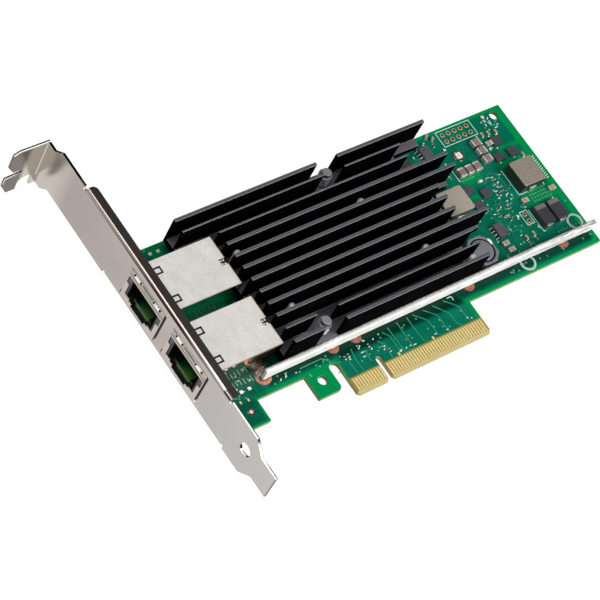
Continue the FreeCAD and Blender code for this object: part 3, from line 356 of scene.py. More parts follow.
# ------------------------------------------------------------------------------------------------
# Finishes
# ------------------------------------------------------------------------------------------------
@dataclass(frozen=True)
class Finish:
    """A surface as its maker leaves it: a base colour, a mottle in it, a grain and a gloss.

    Sizes are in millimetres on the real part, and the spreads say how far the mottle reaches.
    Faces that look up from above top_mm can have a colour of their own, and so can the edges
    beside them, a bend, and tops that lie below low_mm. The finishes use these for painted light
    and shade: a painted sheen on tops, painted highlights on edges and painted shade in a bend.
    """

    name: str
    colour: str
    shade: str
    metallic: float = 0.0
    roughness: float = 0.4
    ior: float = 1.45
    mottle_mm: float = 0.5
    mottle_low: float = 0.35
    mottle_high: float = 0.7
    rough_spread: float = 0.1
    grain_mm: float = 0.2
    grain_depth_mm: float = 0.003
    stretch: tuple[float, float, float] = (1.0, 1.0, 1.0)
    specular: float = 0.5
    top: str = ""
    edge: str = ""
    bend: str = ""
    low_top: str = ""
    low_mm: float = 12.0
    top_mm: float = -100.0

    def material(self) -> bpy.types.Material:
        """Return the finish's material, made once.

        Returns:
            The material.
        """
        known = bpy.data.materials.get(self.name)
        if known is not None:
            return known
        made = bpy.data.materials.new(self.name)
        made.use_nodes = True
        made.diffuse_color = linear(self.colour)
        made.node_tree.nodes.clear()
        w = Wiring(made.node_tree)
        surface = w.add("BsdfPrincipled", at={
            "Metallic": self.metallic, "IOR": 1.5 if self.metallic > 0.5 else self.ior,
            "Specular IOR Level": self.specular})
        w.shader = surface.node
        w.add("OutputMaterial", surface)
        w.where = w.add("TexCoord", out="Object")
        w.stretched = w.add("Mapping", w.where, at={"Scale": self.stretch})
        w.axes = w.add("SeparateXYZ", w.where).node.outputs
        self.paint(w)
        return made

    def facing_up(self, w: Wiring, low: float = 0.75, high: float = 0.9) -> Socket:
        """Return one on faces that look up from above top_mm, and zero elsewhere.

        Args:
            w: The material's wiring.
            low: How far up a face looks, as the Z of its normal, where the ramp starts.
            high: The same where the ramp ends.

        Returns:
            The factor.
        """
        up = w.add("SeparateXYZ", w.add("TexCoord", out="Normal"), out="Z")
        above = w.add("MapRange", w.axes[2], (self.top_mm - 0.1) * MM, self.top_mm * MM)
        return w.add("Math", w.add("MapRange", up, low, high), above, **TIMES)

    def paint(self, w: Wiring) -> None:
        """Link the finish's colour, gloss and relief.

        Args:
            w: The material's wiring.
        """
        mottle = w.add("TexNoise", w.stretched, **grains(self.mottle_mm))
        blend = w.add("MapRange", mottle, self.mottle_low, self.mottle_high)
        colour = w.add("Mix", blend, at={6: self.colour, 7: self.shade}, **TINT)
        # Where a finish sets them, edges, bends and tops take colours of their own: a painted highlight,
        # a painted shade and a painted sheen.
        if self.edge:
            colour = w.add("Mix", self.facing_up(w, 0.3, 0.5), at={6: colour, 7: self.edge}, **TINT)
        if self.bend:
            shaded = w.add("Mix", self.facing_up(w, 0.03, 0.1), at={6: colour, 7: self.bend}, **TINT)
            colour = w.add("Mix", self.facing_up(w, 0.87, 0.93), at={6: shaded, 7: colour}, **TINT)
        high: Any = self.top
        if self.low_top:
            lifted = w.add("MapRange", w.axes[2], (self.low_mm - 0.1) * MM, self.low_mm * MM)
            high = w.add("Mix", lifted, at={6: self.low_top, 7: self.top}, **TINT)
        if self.top:
            colour = w.add("Mix", self.facing_up(w), at={6: colour, 7: high}, **TINT)
        w.feed("Base Color", colour)
        scuffs = w.add("TexNoise", w.stretched, **grains(self.mottle_mm * 0.6))
        w.feed("Roughness", w.add("MapRange", scuffs, 0.3, 0.7,
                                  max(self.roughness - self.rough_spread / 2, 0.02),
                                  self.roughness + self.rough_spread / 2))
        height = w.add("TexNoise", w.stretched, **grains(self.grain_mm, 2.0))
        w.feed("Normal", w.add("Bump", at={
            "Strength": 1.0, "Distance": self.grain_depth_mm * MM, "Height": height}))


def painted(w: Wiring) -> Socket:
    """Return what feeds the shader's base colour so far."""
    return w.shader.inputs["Base Color"].links[0].from_socket


@dataclass(frozen=True)
class SolderMask(Finish):
    """Green liquid solder mask over copper on glass-fibre laminate, with its bare sawn edge.

    The mask is the finish's shade, clear and bright, where the laminate lets light through, along
    the routed outline and over the pours. Over the copper planes it is the finish's colour, a
    deeper teal. Fine tracks show as faint lines under it. Some areas of the component face are
    painted darker, a painted shade, and a few are painted lighter, a painted light.
    """

    track: str = "#1f8a68"
    laminate: tuple[str, str] = ("#5c7a4c", "#7f9a68")
    finger_gap: str = "#93783a"
    finger_edge: str = "#ada071"
    plane: Area = (-56.6, 13.0, 92.8, 66.6)
    by_fingers: Area = (-12.1, 0.0, 38.1, 13.5)
    foot: Area = (-56.6, 5.2, -43.1, 13.6)
    pours: tuple[Area, ...] = (
        (64.2, 46.2, 72.6, 49.2), (62.7, 40.6, 67.3, 42.6), (80.6, 31.6, 92.8, 36.9),
        (80.6, 46.9, 92.9, 49.2), (84.2, 52.6, 92.9, 54.4), (-44.4, 60.5, -40.5, 67.0))
    # Painted shade: areas of the component face darkened towards this colour, each with its strength.
    deep: str = "#01261b"
    painted_shade_areas: tuple[tuple[Area, float], ...] = (
        ((-36.5, 13.8, -11.0, 18.2), 0.88), ((-11.0, 12.1, 37.5, 18.2), 0.95),
        ((37.5, 13.6, 94.0, 18.2), 0.85), ((-57.0, 5.0, -43.3, 12.6), 0.35),
        ((-60.0, 41.0, -46.0, 59.0), 0.85), ((-60.0, 19.5, -46.0, 37.0), 0.85),
        ((-58.0, 10.0, -38.5, 24.0), 0.35))
    # Painted light: areas of the component face brightened towards their own colour.
    lits: tuple[tuple[Area, str], ...] = (
        ((-60.0, 45.0, -55.0, 51.0), "#5f9a3a"), ((-60.0, 23.3, -55.0, 29.3), "#5f9a3a"),
        ((-52.0, 37.2, -32.0, 43.0), "#1fc47a"))
    fingers: tuple[float, float, float] = (-12.6, 39.6, 5.75)
    thick_mm: float = 1.57
    ply_mm: float = 0.2
    pour_strength: float = 0.85
    track_strength: float = 0.42
    lit_strength: float = 0.6
    shade_soft_mm: float = 0.7
    lit_soft_mm: float = 1.6
    bare_roughness: float = 0.75
    line_groups: tuple[tuple[float, float, float], ...] = (
        (0.0, 0.62, 0.0), (45.0, 0.7, 4.0), (90.0, 0.66, 9.0))

    def patch(self, w: Wiring, area: Area, soft: float) -> Socket:
        """Return one inside a rectangle of the board and zero outside it, all in millimetres.

        Args:
            w: The material's wiring.
            area: Left, low, right and high side.
            soft: Half the width over which each side fades.

        Returns:
            The factor.
        """
        sides = []
        for along, low, high in zip(w.axes, area, area[2:]):
            middle = w.add("Math", along, (low + high) / 2 * MM, **MINUS)
            inside = w.add("Math", (high - low) / 2 * MM, w.add("Math", middle, **UNSIGNED), **MINUS)
            sides.append(w.add("MapRange", inside, -soft * MM, soft * MM))
        return w.add("Math", *sides, **TIMES)

    def tracks(self, w: Wiring) -> Socket:
        """Return a mask of faint parallel tracks, in patches that run three ways.

        Args:
            w: The material's wiring.

        Returns:
            The factor.
        """
        joined: Any = 0.0
        for angle, pitch_mm, shift_cm in self.line_groups:
            turned = w.add("Mapping", w.where, (shift_cm * 10 * MM, 0.0, 0.0),
                           (0.0, 0.0, math.radians(angle)))
            across = w.add("SeparateXYZ", turned, out="Y")
            turns = w.add("Math", across, 2 * math.pi / (pitch_mm * MM), **TIMES)
            lines = w.add("MapRange", w.add("Math", turns, **WAVE), 0.57, 0.87)
            long_cells = w.add("Mapping", turned, at={"Scale": (0.35, 1.0, 1.0)})
            cells = w.add("TexNoise", long_cells, **grains(6.5, 1.0))
            group = w.add("Math", lines, w.add("MapRange", cells, 0.548, 0.572), **TIMES)
            joined = w.add("Math", joined, group, **LARGER)
        return joined

    def copper(self, w: Wiring) -> Socket:
        """Return how much copper plane lies under the mask, from zero to one.

        Args:
            w: The material's wiring.

        Returns:
            The factor.
        """
        plane = self.patch(w, self.plane, 0.3)
        for area, soft in ((self.by_fingers, 0.15), (self.foot, 0.2)):
            plane = w.add("Math", plane, self.patch(w, area, soft), **LARGER)
        for pour in self.pours:
            opened = w.add("Math", self.patch(w, pour, 0.25), self.pour_strength, **TIMES)
            plane = w.add("Math", plane, w.add("Math", 1.0, opened, **MINUS), **TIMES)
        return plane

    def bare(self, w: Wiring) -> tuple[Socket, Socket]:
        """Work out where the mask ends.

        Args:
            w: The material's wiring.

        Returns:
            How bare the laminate is, and its colour there.
        """
        left, right, top = (side * MM for side in self.fingers)
        hair = 0.01 * MM
        past_left = w.add("MapRange", w.axes[0], left - hair, left + hair)
        before_right = w.add("MapRange", w.add("Math", right, w.axes[0], **MINUS), -hair, hair)
        in_fingers = w.add("Math", past_left, before_right, **TIMES)
        below_top = w.add("MapRange", w.add("Math", top, w.axes[1], **MINUS), -3 * hair, 3 * hair)
        open_face = w.add("Math", in_fingers, below_top, **TIMES)
        depth = w.add("Math", w.add("Math", w.axes[2], self.thick_mm / 2 * MM, **PLUS), **UNSIGNED)
        inside = w.add("Math", (self.thick_mm / 2 - 0.035) * MM, depth, **MINUS)
        sawn = w.add("MapRange", inside, -hair, hair)
        plies = w.add("Math", w.add("Math", w.axes[2], 2 * math.pi / (self.ply_mm * MM), **TIMES),
                      **WAVE)
        weave = w.add("Math", plies, w.add("TexNoise", w.where, **grains(0.4)), **TIMES)
        laminate = w.add("Mix", w.add("MapRange", weave, -0.4, 0.6),
                         at={6: self.laminate[0], 7: self.laminate[1]}, **TINT)
        laminate = w.add("Mix", in_fingers, at={6: laminate, 7: self.finger_edge}, **TINT)
        on_face = w.add("Math", open_face, w.add("Math", 1.0, sawn, **MINUS), **TIMES)
        laminate = w.add("Mix", on_face, at={6: laminate, 7: self.finger_gap}, **TINT)
        return w.add("Math", open_face, sawn, **LARGER), laminate

    def paint(self, w: Wiring) -> None:
        """Link mask, planes, tracks, bare fingers and sawn edge.

        Args:
            w: The material's wiring.
        """
        plane = self.copper(w)
        clouds = w.add("MapRange", w.add("TexNoise", w.where, **grains(16.0)), 0.35, 0.65, 0.86, 1.0)
        colour = w.add("Mix", w.add("Math", plane, clouds, **TIMES),
                       at={6: self.shade, 7: self.colour}, **TINT)
        shown = w.add("Math", plane, self.track_strength, **TIMES)
        lines = w.add("Math", self.tracks(w), shown, **TIMES)
        colour = w.add("Mix", lines, at={6: colour, 7: self.track}, **TINT)
        front = w.add("MapRange", w.axes[2], (-self.thick_mm / 2 - 0.1) * MM,
                      (-self.thick_mm / 2 + 0.1) * MM)
        # Painted shade and painted light over chosen areas of the component face.
        areas = [(area, self.shade_soft_mm, depth, self.deep) for area, depth in self.painted_shade_areas]
        areas += [(area, self.lit_soft_mm, self.lit_strength, lit) for area, lit in self.lits]
        for area, soft, depth, tone in areas:
            strength = w.add("Math", front, depth, **TIMES)
            strength = w.add("Math", self.patch(w, area, soft), strength, **TIMES)
            colour = w.add("Mix", strength, at={6: colour, 7: tone}, **TINT)
        naked, laminate = self.bare(w)
        w.feed("Base Color", w.add("Mix", naked, at={6: colour, 7: laminate}, **TINT))
        w.feed("Roughness", w.add("MapRange", naked, 0.0, 1.0, self.roughness,
                                  self.bare_roughness))
        ripple = w.add("Math", w.add("TexNoise", w.where, **grains(self.grain_mm, 2.0)), 0.25, **TIMES)
        relief = w.add("Math", w.add("Math", lines, 0.8, **TIMES), ripple, **PLUS)
        w.feed("Normal", w.add("Bump", at={
            "Strength": 0.6, "Distance": 0.03 * MM, "Height": relief}))


@dataclass(frozen=True)
class FormedSheet(Finish):
    """Plated sheet with painted reflection along it, painted shade on its flange and rims, and painted
    highlights.
    """

    # Painted reflection along the face: between Y start and end, each tone blends in from the first
    # share to the last.
    zones: tuple[tuple[float, float, float, float, str], ...] = (
        (48.0, 82.0, 0.0, 0.8, "#a39993"), (90.0, 97.0, 0.0, 1.0, "#c3bcb3"),
        (4.0, 34.0, 0.9, 0.0, "#b7b4b1"))
    # Painted shade on the far flange, where it does not face up.
    far: str = "#6b625c"
    far_mm: tuple[float, float] = (-65.5, -63.7)
    slope: str = "#b0a8a8"
    # Painted highlight on the cut top edge low down, and in a band inside the flange's rim.
    painted_highlight: str = "#f6f1eb"
    low_end_mm: tuple[float, float] = (13.0, 13.6)
    highlight_face_mm: tuple[float, float] = (-58.4, -58.3)
    inner_mm: tuple[float, float] = (-58.15, -58.05)
    # Painted shade on the rims, and on the cut edges low down and at the end.
    rim: str = "#2b2724"
    rim_mm: tuple[float, float] = (88.0, 89.0)
    rim_bright_mm: tuple[float, float] = (104.22, 104.66)
    end_mm: float = -14.85

    def paint(self, w: Wiring) -> None:
        """Link the plain sheet, its zones of painted reflection, and its painted shade and highlights.

        Args:
            w: The material's wiring.
        """
        super().paint(w)
        sheet = painted(w)
        x, y = w.axes[0], w.axes[1]
        # Painted reflection along the face.
        for start, end, first, last, tone in self.zones:
            share = w.add("MapRange", y, start * MM, end * MM, first, last)
            sheet = w.add("Mix", share, at={6: sheet, 7: tone}, **TINT)
        up, tilted = self.facing_up(w), self.facing_up(w, 0.2, 0.4)
        far, low, face, within = (
            w.add("MapRange", axis, span[0] * MM, span[1] * MM, 1.0, 0.0) for axis, span in (
                (x, self.far_mm), (y, self.low_end_mm), (x, self.highlight_face_mm), (x, self.inner_mm)))
        # Painted shade on the far flange, where it does not face up.
        kept = w.add("Math", far, w.add("MapRange", up, 0.0, 1.0, 1.0, 0.0), **TIMES)
        sheet = w.add("Mix", kept, at={6: sheet, 7: self.far}, **TINT)
        end = w.add("MapRange", y, self.end_mm * MM, (self.end_mm + 0.03) * MM, 1.0, 0.0)
        arris = w.add("Math", tilted, w.add("Math", low, within, **TIMES), **TIMES)
        sloped = w.add("Math", low, tilted, **TIMES)
        rim = w.add("Math", tilted, w.add("MapRange", y, *(side * MM for side in self.rim_mm)), **TIMES)
        # A tone of its own on the low sloped faces, then painted shade on the rims and cut edges.
        for share, tone in ((sloped, self.slope), (w.add("Math", arris, end, **LARGER), self.rim),
                            (rim, self.rim)):
            sheet = w.add("Mix", share, at={6: sheet, 7: tone}, **TINT)
        # Painted highlight on the low cut edge and in a band inside the flange's rim.
        inner, outer = (side * MM for side in self.rim_bright_mm)
        band = w.add("Math", w.add("MapRange", y, inner, inner + 0.02 * MM),
                     w.add("MapRange", y, outer, outer + 0.02 * MM, 1.0, 0.0), **TIMES)
        painted_highlight = w.add("Math", w.add("Math", up, w.add("Math", low, face, **TIMES), **TIMES),
                     w.add("Math", rim, band, **TIMES), **LARGER)
        w.feed("Base Color", w.add("Mix", painted_highlight, at={6: sheet, 7: self.painted_highlight}, **TINT))
        w.feed("Metallic", w.add("MapRange", painted_highlight, 0.0, 1.0, self.metallic, 0.0))


@dataclass(frozen=True)
class TinnedBar(Finish):
    """A hot-tinned bar with painted shade on the back of its top and painted reflection streaks at one
    end.
    """

    # Painted shade on the back of the top, across Y within across_mm.
    back: str = "#5f5d5a"
    across_mm: tuple[float, float] = (16.75, 17.55)
    # Painted reflection: grey streaks along X within streaked_mm.
    streaked_mm: tuple[float, float] = (42.0, 80.0)
    streak: str = "#7b797c"

    def paint(self, w: Wiring) -> None:
        """Link the bright tin, the painted shade on the back of its top and the painted reflection
        streaks.

        Args:
            w: The material's wiring.
        """
        super().paint(w)
        ragged = w.add("MapRange", w.add("TexNoise", w.where, **grains(0.5)), 0.3, 0.7,
                       -0.25 * MM, 0.25 * MM)
        shaded = w.add("MapRange", w.add("Math", w.axes[1], ragged, **PLUS),
                     *(side * MM for side in self.across_mm))
        colour = w.add("Mix", shaded, at={6: painted(w), 7: self.back}, **TINT)
        along = w.add("MapRange", w.axes[0], *(side * MM for side in self.streaked_mm), 0.0, 0.9)
        drawn = w.add("Mapping", w.where, at={"Scale": (0.12, 1.6, 1.0)})
        streaks = w.add("MapRange", w.add("TexNoise", drawn, **grains(0.9, 4.0)), 0.44, 0.6)
        marked = w.add("Math", along, streaks, **TIMES)
        w.feed("Base Color", w.add("Mix", marked, at={6: colour, 7: self.streak}, **TINT))


@dataclass(frozen=True)
class PressedCore(Finish):
    """A pressed core whose sides are painted darker than its top: painted shade."""

    # Painted shade down the sides: two tones blended by a noise.
    sides: tuple[str, str] = ("#2c2b28", "#1d1d1b")
    side_roughness: float = 0.3
    top_from_mm: float = 3.75

    def paint(self, w: Wiring) -> None:
        """Link the top, the painted shade down the sides and the grain over both.

        Args:
            w: The material's wiring.
        """
        super().paint(w)
        uneven = w.add("MapRange", w.add("TexNoise", w.where, **grains(0.6)), 0.3, 0.7,
                       -0.06 * MM, 0.06 * MM)
        on_top = w.add("MapRange", w.add("Math", w.axes[2], uneven, **PLUS),
                      (self.top_from_mm - 0.08) * MM, (self.top_from_mm + 0.08) * MM)
        runs = w.add("MapRange", w.add("TexNoise", w.where, **grains(1.2)), 0.35, 0.65)
        side_shade = w.add("Mix", runs, at={6: self.sides[0], 7: self.sides[1]}, **TINT)
        w.feed("Base Color", w.add("Mix", on_top, at={6: side_shade, 7: painted(w)}, **TINT))
        w.feed("Roughness", w.add("MapRange", on_top, 0.0, 1.0, self.side_roughness, self.roughness))


@dataclass(frozen=True)
class PlatedSheet(Finish):
    """Plated sheet whose broad top is matt and speckled, while its folded sides stay bright."""

    side: str = "#bdb5ae"
    side_roughness: float = 0.05
    speck: str = "#bfbbb5"
    speck_mm: float = 0.34

    def paint(self, w: Wiring) -> None:
        """Link the speckled top and the bright sides.

        Args:
            w: The material's wiring.
        """
        super().paint(w)
        specks = w.add("MapRange", w.add("TexNoise", w.stretched, **grains(self.speck_mm, 4.0)),
                       0.46, 0.7, 0.0, 0.6)
        up = self.facing_up(w)
        speckled = w.add("Mix", specks, at={6: painted(w), 7: self.speck}, **TINT)
        w.feed("Base Color", w.add("Mix", up, at={6: self.side, 7: speckled}, **TINT))
        w.feed("Roughness", w.add("MapRange", up, 0.0, 1.0, self.side_roughness, self.roughness))
        w.feed("Metallic", w.add("MapRange", up, 0.0, 1.0, 1.0, self.metallic))


@dataclass(frozen=True)
class ClearMoulding(Finish):
    """Clear moulded plastic that lets light through."""

    transmission: float = 0.55

    def paint(self, w: Wiring) -> None:
        """Link a moulded plastic's colour and make it let light through."""
        super().paint(w)
        w.shader.inputs["Transmission Weight"].default_value = self.transmission


class Surface(Enum):
    """Every finish on the card, named for what the surface is or for the light and shade painted into
    it.
    """

    # Green solder mask: a wet-looking film that deepens over the copper planes, with painted shade
    # and painted light over some areas of the component face.
    MASK = SolderMask(
        "green_solder_mask", "#045c4a", "#007f45", roughness=0.22, ior=1.5, mottle_mm=3.0,
        grain_mm=0.3, grain_depth_mm=0.004, specular=0.07)
    # Electroplated hard gold: warm, even and softly polished.
    GOLD = Finish(
        "hard_gold_plating", "#e6d699", "#dbc884", metallic=0.25, roughness=0.34, mottle_mm=1.5,
        grain_mm=0.12, grain_depth_mm=0.002)
    # Nickel-plated cold-rolled steel: a smooth satin grey, with painted reflection along its face, a
    # warmer painted shade on its up-facing faces and painted shade in its bends.
    BRACKET = FormedSheet(
        "nickel_plated_steel", "#b7afaa", "#aca49f", metallic=1.0, roughness=0.2, mottle_mm=14.0,
        rough_spread=0.03, grain_mm=0.25, grain_depth_mm=0.0005, top="#b2a398", bend="#2c2621")
    # Bright nickel on small turned parts.
    NICKEL = Finish(
        "bright_nickel", "#dad6d0", "#c4c0ba", metallic=1.0, roughness=0.16, mottle_mm=0.8,
        grain_depth_mm=0.001)
    # Tin-plated copper alloy sheet: pale and matt on top, with a fine speckle and soft scuffs.
    SHIELD = PlatedSheet(
        "matt_tin_plate", "#dedad6", "#cfcbc6", metallic=0.15, mottle_mm=3.5, mottle_low=0.3,
        rough_spread=0.08, grain_depth_mm=0.002, stretch=(1.0, 0.6, 1.0), specular=0.25)
    # Hot-tinned bar: bright, with long ripples left by the tin, painted shade on the back of its top
    # and grey streaks at one end, a painted reflection.
    BAR = TinnedBar(
        "hot_tinned_bar", "#f6f5f3", "#dddbd8", metallic=0.1, roughness=0.45, mottle_mm=1.4,
        rough_spread=0.16, grain_mm=0.9, grain_depth_mm=0.012, stretch=(0.35, 1.0, 1.0),
        top="#efedea")
    # Reflowed solder: bright, lumpy tin alloy.
    SOLDER = Finish(
        "reflowed_solder", "#e6e4df", "#bdbab4", metallic=1.0, roughness=0.22, mottle_mm=0.8,
        grain_mm=0.5, grain_depth_mm=0.006)
    # Solder at the bar's end, with bright and dark streaks painted into its colour: a painted
    # reflection.
    SOLDER_GLINTS = Finish(
        "drawn_solder_streaks", "#fbf9f5", "#8f8b84", metallic=0.15, roughness=0.3, mottle_mm=0.55,
        mottle_low=0.48, mottle_high=0.6, grain_mm=0.5, grain_depth_mm=0.004,
        stretch=(0.5, 1.0, 1.0))
    # Tinned copper leads and end caps: a soft pale shine.
    TIN = Finish(
        "tinned_lead", "#e4e1da", "#cbc7bf", metallic=0.7, roughness=0.35, mottle_mm=0.4,
        grain_mm=0.15, grain_depth_mm=0.004)
    # Bare copper under a clear preservative: pinkish brown.
    COPPER = Finish("bare_copper", "#9c6850", "#83533f", metallic=0.4, mottle_mm=1.2)
    # Bright copper of the two round lands at the bar's end.
    BRIGHT_COPPER = Finish(
        "burnished_copper", "#c0846a", "#9b5f4a", metallic=0.3, roughness=0.35, mottle_mm=1.6)
    # Joints dulled to a greenish grey by flux.
    DULL_JOINT = Finish(
        "flux_dulled_joint", "#8aa894", "#6b8f7b", metallic=0.2, roughness=0.5, mottle_mm=0.6)
    # Burnished copper of the alignment marks: a pale pink flash.
    FIDUCIAL = Finish(
        "burnished_alignment_mark", "#f3d3c4", "#e2b7a5", metallic=0.2, roughness=0.3,
        grain_depth_mm=0.001)
    # Pale tin over copper round the unfilled holes.
    ANNULUS = Finish("tinned_annulus", "#c9b28c", "#b39a74", metallic=0.4, grain_mm=0.15)
    # Black anodised aluminium with a fine blasted tooth; its tops are painted grey, a painted sheen,
    # its broken edges a paler painted highlight, and the base's low tops a lighter painted sheen.
    ANODISED = Finish(
        "black_anodised_aluminium", "#060607", "#0a0a0b", roughness=0.5, ior=1.5, mottle_mm=5.0,
        rough_spread=0.04, grain_mm=0.3, grain_depth_mm=0.0006, specular=0.0, top="#505155",
        edge="#85868b", low_top="#626267")
    # Blackened steel of the screw heads: dark, with a painted grey sheen on top and a paler painted
    # highlight on the edges beside it.
    BLACK_STEEL = Finish(
        "blackened_steel", "#19191b", "#101012", roughness=0.36, ior=1.5, mottle_mm=0.7,
        top="#77777c", edge="#a4a4a9", top_mm=8.2)
    # Music-wire spring: drawn steel with a shine.
    SPRING = Finish(
        "drawn_spring_wire", "#a9a9ad", "#8b8b90", metallic=0.3, roughness=0.25, mottle_mm=0.4,
        grain_mm=0.1, grain_depth_mm=0.001)
    # Glass-filled nylon: black, slightly frosted by its fibres.
    NYLON = Finish(
        "black_glass_filled_nylon", "#0c0b0c", "#121113", roughness=0.42, ior=1.52, mottle_mm=0.8,
        grain_mm=0.15, grain_depth_mm=0.006)
    # Clear acrylic light pipe, dusky inside until its lamp is lit.
    LIGHT_PIPE = ClearMoulding(
        "acrylic_light_pipe", "#6a6070", "#544c5c", roughness=0.12, ior=1.49, mottle_mm=1.5,
        grain_mm=0.4, grain_depth_mm=0.002)
    # Epoxy moulding compound: charcoal with a fine satin texture.
    EPOXY = Finish(
        "epoxy_moulding_compound", "#4f5152", "#464849", roughness=0.46, ior=1.5, mottle_mm=0.6,
        grain_mm=0.08)
    # The leadless regulators' compound: a slightly purple grey.
    SLATE_EPOXY = Finish(
        "slate_moulding_compound", "#45444b", "#3b3a40", roughness=0.42, ior=1.5, grain_mm=0.08)
    # Moulded case of the tank capacitors: smooth and nearly black.
    BLACK_CASE = Finish(
        "black_capacitor_case", "#3a3b41", "#2d2e33", roughness=0.35, ior=1.52, mottle_mm=0.7,
        grain_mm=0.1, grain_depth_mm=0.002)
    # The paler polarity stripe printed on that case: a flat warm grey.
    STRIPE = Finish(
        "polarity_stripe_ink", "#6f6a64", "#5d5954", roughness=0.5, grain_mm=0.1,
        grain_depth_mm=0.002)
    # Pressed iron powder: warm stone grey on top, painted darker down its sides, a painted shade.
    IRON_POWDER = PressedCore(
        "pressed_iron_powder", "#8e8376", "#716a5f", roughness=0.48, ior=1.5, mottle_low=0.4,
        mottle_high=0.62, grain_mm=0.25, grain_depth_mm=0.006)
    # The same pressing in a paler powder, with a browner painted shade down its sides.
    PALE_POWDER = PressedCore(
        "pale_pressed_powder", "#a2988b", "#90877b", roughness=0.46, ior=1.5, mottle_low=0.4,
        mottle_high=0.62, grain_mm=0.25, grain_depth_mm=0.006, sides=("#4c483f", "#3a3731"))
    # Sintered ferrite: cool mid grey with a fine tooth.
    FERRITE = Finish(
        "sintered_ferrite", "#6c7076", "#5f6369", roughness=0.5, ior=1.6, grain_depth_mm=0.005)
    # Potting varnish in the gap round the wound drum: black and glassy.
    VARNISH = Finish(
        "black_potting_varnish", "#0a0a0b", "#131314", roughness=0.25, ior=1.5, mottle_mm=0.4,
        grain_depth_mm=0.01)
    # Barium titanate capacitor body: mauve-brown ceramic.
    CERAMIC = Finish(
        "mauve_titanate_ceramic", "#837170", "#736160", ior=1.7, mottle_mm=0.6, grain_mm=0.12)
    # The smaller capacitors' body: the same ceramic, tan and a little duller.
    TAN_CERAMIC = Finish(
        "tan_titanate_ceramic", "#a5917e", "#927f6c", roughness=0.42, ior=1.7, grain_mm=0.12)
    # Glaze over a chip resistor: a small black glint.
    RESISTOR = Finish(
        "resistor_glaze", "#232326", "#2f2f33", roughness=0.3, ior=1.6, mottle_mm=0.3, grain_mm=0.1,
        grain_depth_mm=0.002)
    # White epoxy ink of the board's legend: flat, and tinted by the mask under it.
    LEGEND = Finish(
        "white_legend_ink", "#dcebe3", "#b9d6c8", roughness=0.55, mottle_mm=0.4, grain_mm=0.1)
    # The same ink greyed for the legend rings: a painted shade.
    SHADED_LEGEND = Finish(
        "thin_legend_ink", "#a3b8ad", "#8ba497", roughness=0.55, mottle_mm=0.4, grain_mm=0.1)
    # Alumina ceramic: a warm, smooth off-white.
    WHITE_CERAMIC = Finish(
        "alumina_ceramic", "#e9e4d6", "#d8d2c2", ior=1.7, mottle_mm=0.6, grain_mm=0.15,
        grain_depth_mm=0.004)
    # Lacquer dot on the clock's lid: a small soft red.
    RED_LACQUER = Finish(
        "red_lacquer_dot", "#cf7f78", "#bd6a64", roughness=0.3, mottle_mm=0.3, grain_mm=0.1,
        grain_depth_mm=0.002)
    # Mask-covered track: the mask stands up over the copper and shows brighter.
    TRACK = Finish(
        "masked_track", "#287f63", "#1f7056", roughness=0.3, ior=1.5, mottle_mm=1.0,
        grain_depth_mm=0.002)
    # Mask-covered via: a pale green ring.
    VIA = Finish("masked_via", "#6aa486", "#4c8c6e", roughness=0.35, ior=1.5, mottle_mm=0.6)
    # The deep brown dark of a drilled hole or a gap in the mask.
    DRILLED = Finish(
        "drilled_hole_shadow", "#4a1d12", "#2e110a", roughness=0.7, mottle_mm=0.4, grain_mm=0.1,
        grain_depth_mm=0.002)
    # Bright tin on the spring fingers: nearly a mirror.
    BRIGHT_TIN = Finish(
        "bright_tin_plate", "#fffdf8", "#faf7f1", metallic=1.0, roughness=0.1, mottle_mm=0.6,
        grain_depth_mm=0.001)
    # Tin levelled over bare lands: pale, with a low lumpy sheen.
    LEVELLED = Finish(
        "levelled_tin", "#eeece6", "#d9d6cf", metallic=0.2, roughness=0.35, grain_mm=0.3,
        grain_depth_mm=0.006)
    # The rolled band over a mouth, dulled by handling.
    BAND = Finish("rolled_tin_band", "#c6bcb0", "#b5ab9f", metallic=0.6, mottle_mm=1.0)
    # The brassy cut edge of a roof's sheet, painted only where it catches the light: a painted
    # highlight.
    EDGE_HIGHLIGHT = Finish("brassy_sheet_edge", "#c9b48c", "#b5a078", metallic=0.6, mottle_mm=1.5)
    # Dark brown lines and strips: painted shade in the scored grooves of the shields and in the gaps
    # round the sockets.
    BROWN_SHADE = Finish(
        "scored_groove", "#453b33", "#332b25", roughness=0.6, mottle_mm=0.4, grain_mm=0.1,
        grain_depth_mm=0.002, specular=0.1)
    # The dark seen through a punched hole or slit.
    HOLE = Finish(
        "punched_hole_dark", "#070605", "#0d0b09", roughness=0.9, mottle_mm=0.4, grain_mm=0.1,
        grain_depth_mm=0.001, specular=0.0)
    # The controller's own little board: a deep even green.
    SUBSTRATE = Finish("chip_substrate_mask", "#1d5a3a", "#174a30", mottle_mm=1.0)
    # Silicone thermal pad: a dull mid grey.
    GREASE = Finish(
        "thermal_pad_silicone", "#9b9ca0", "#86878b", roughness=0.6, mottle_mm=0.8,
        grain_depth_mm=0.01)


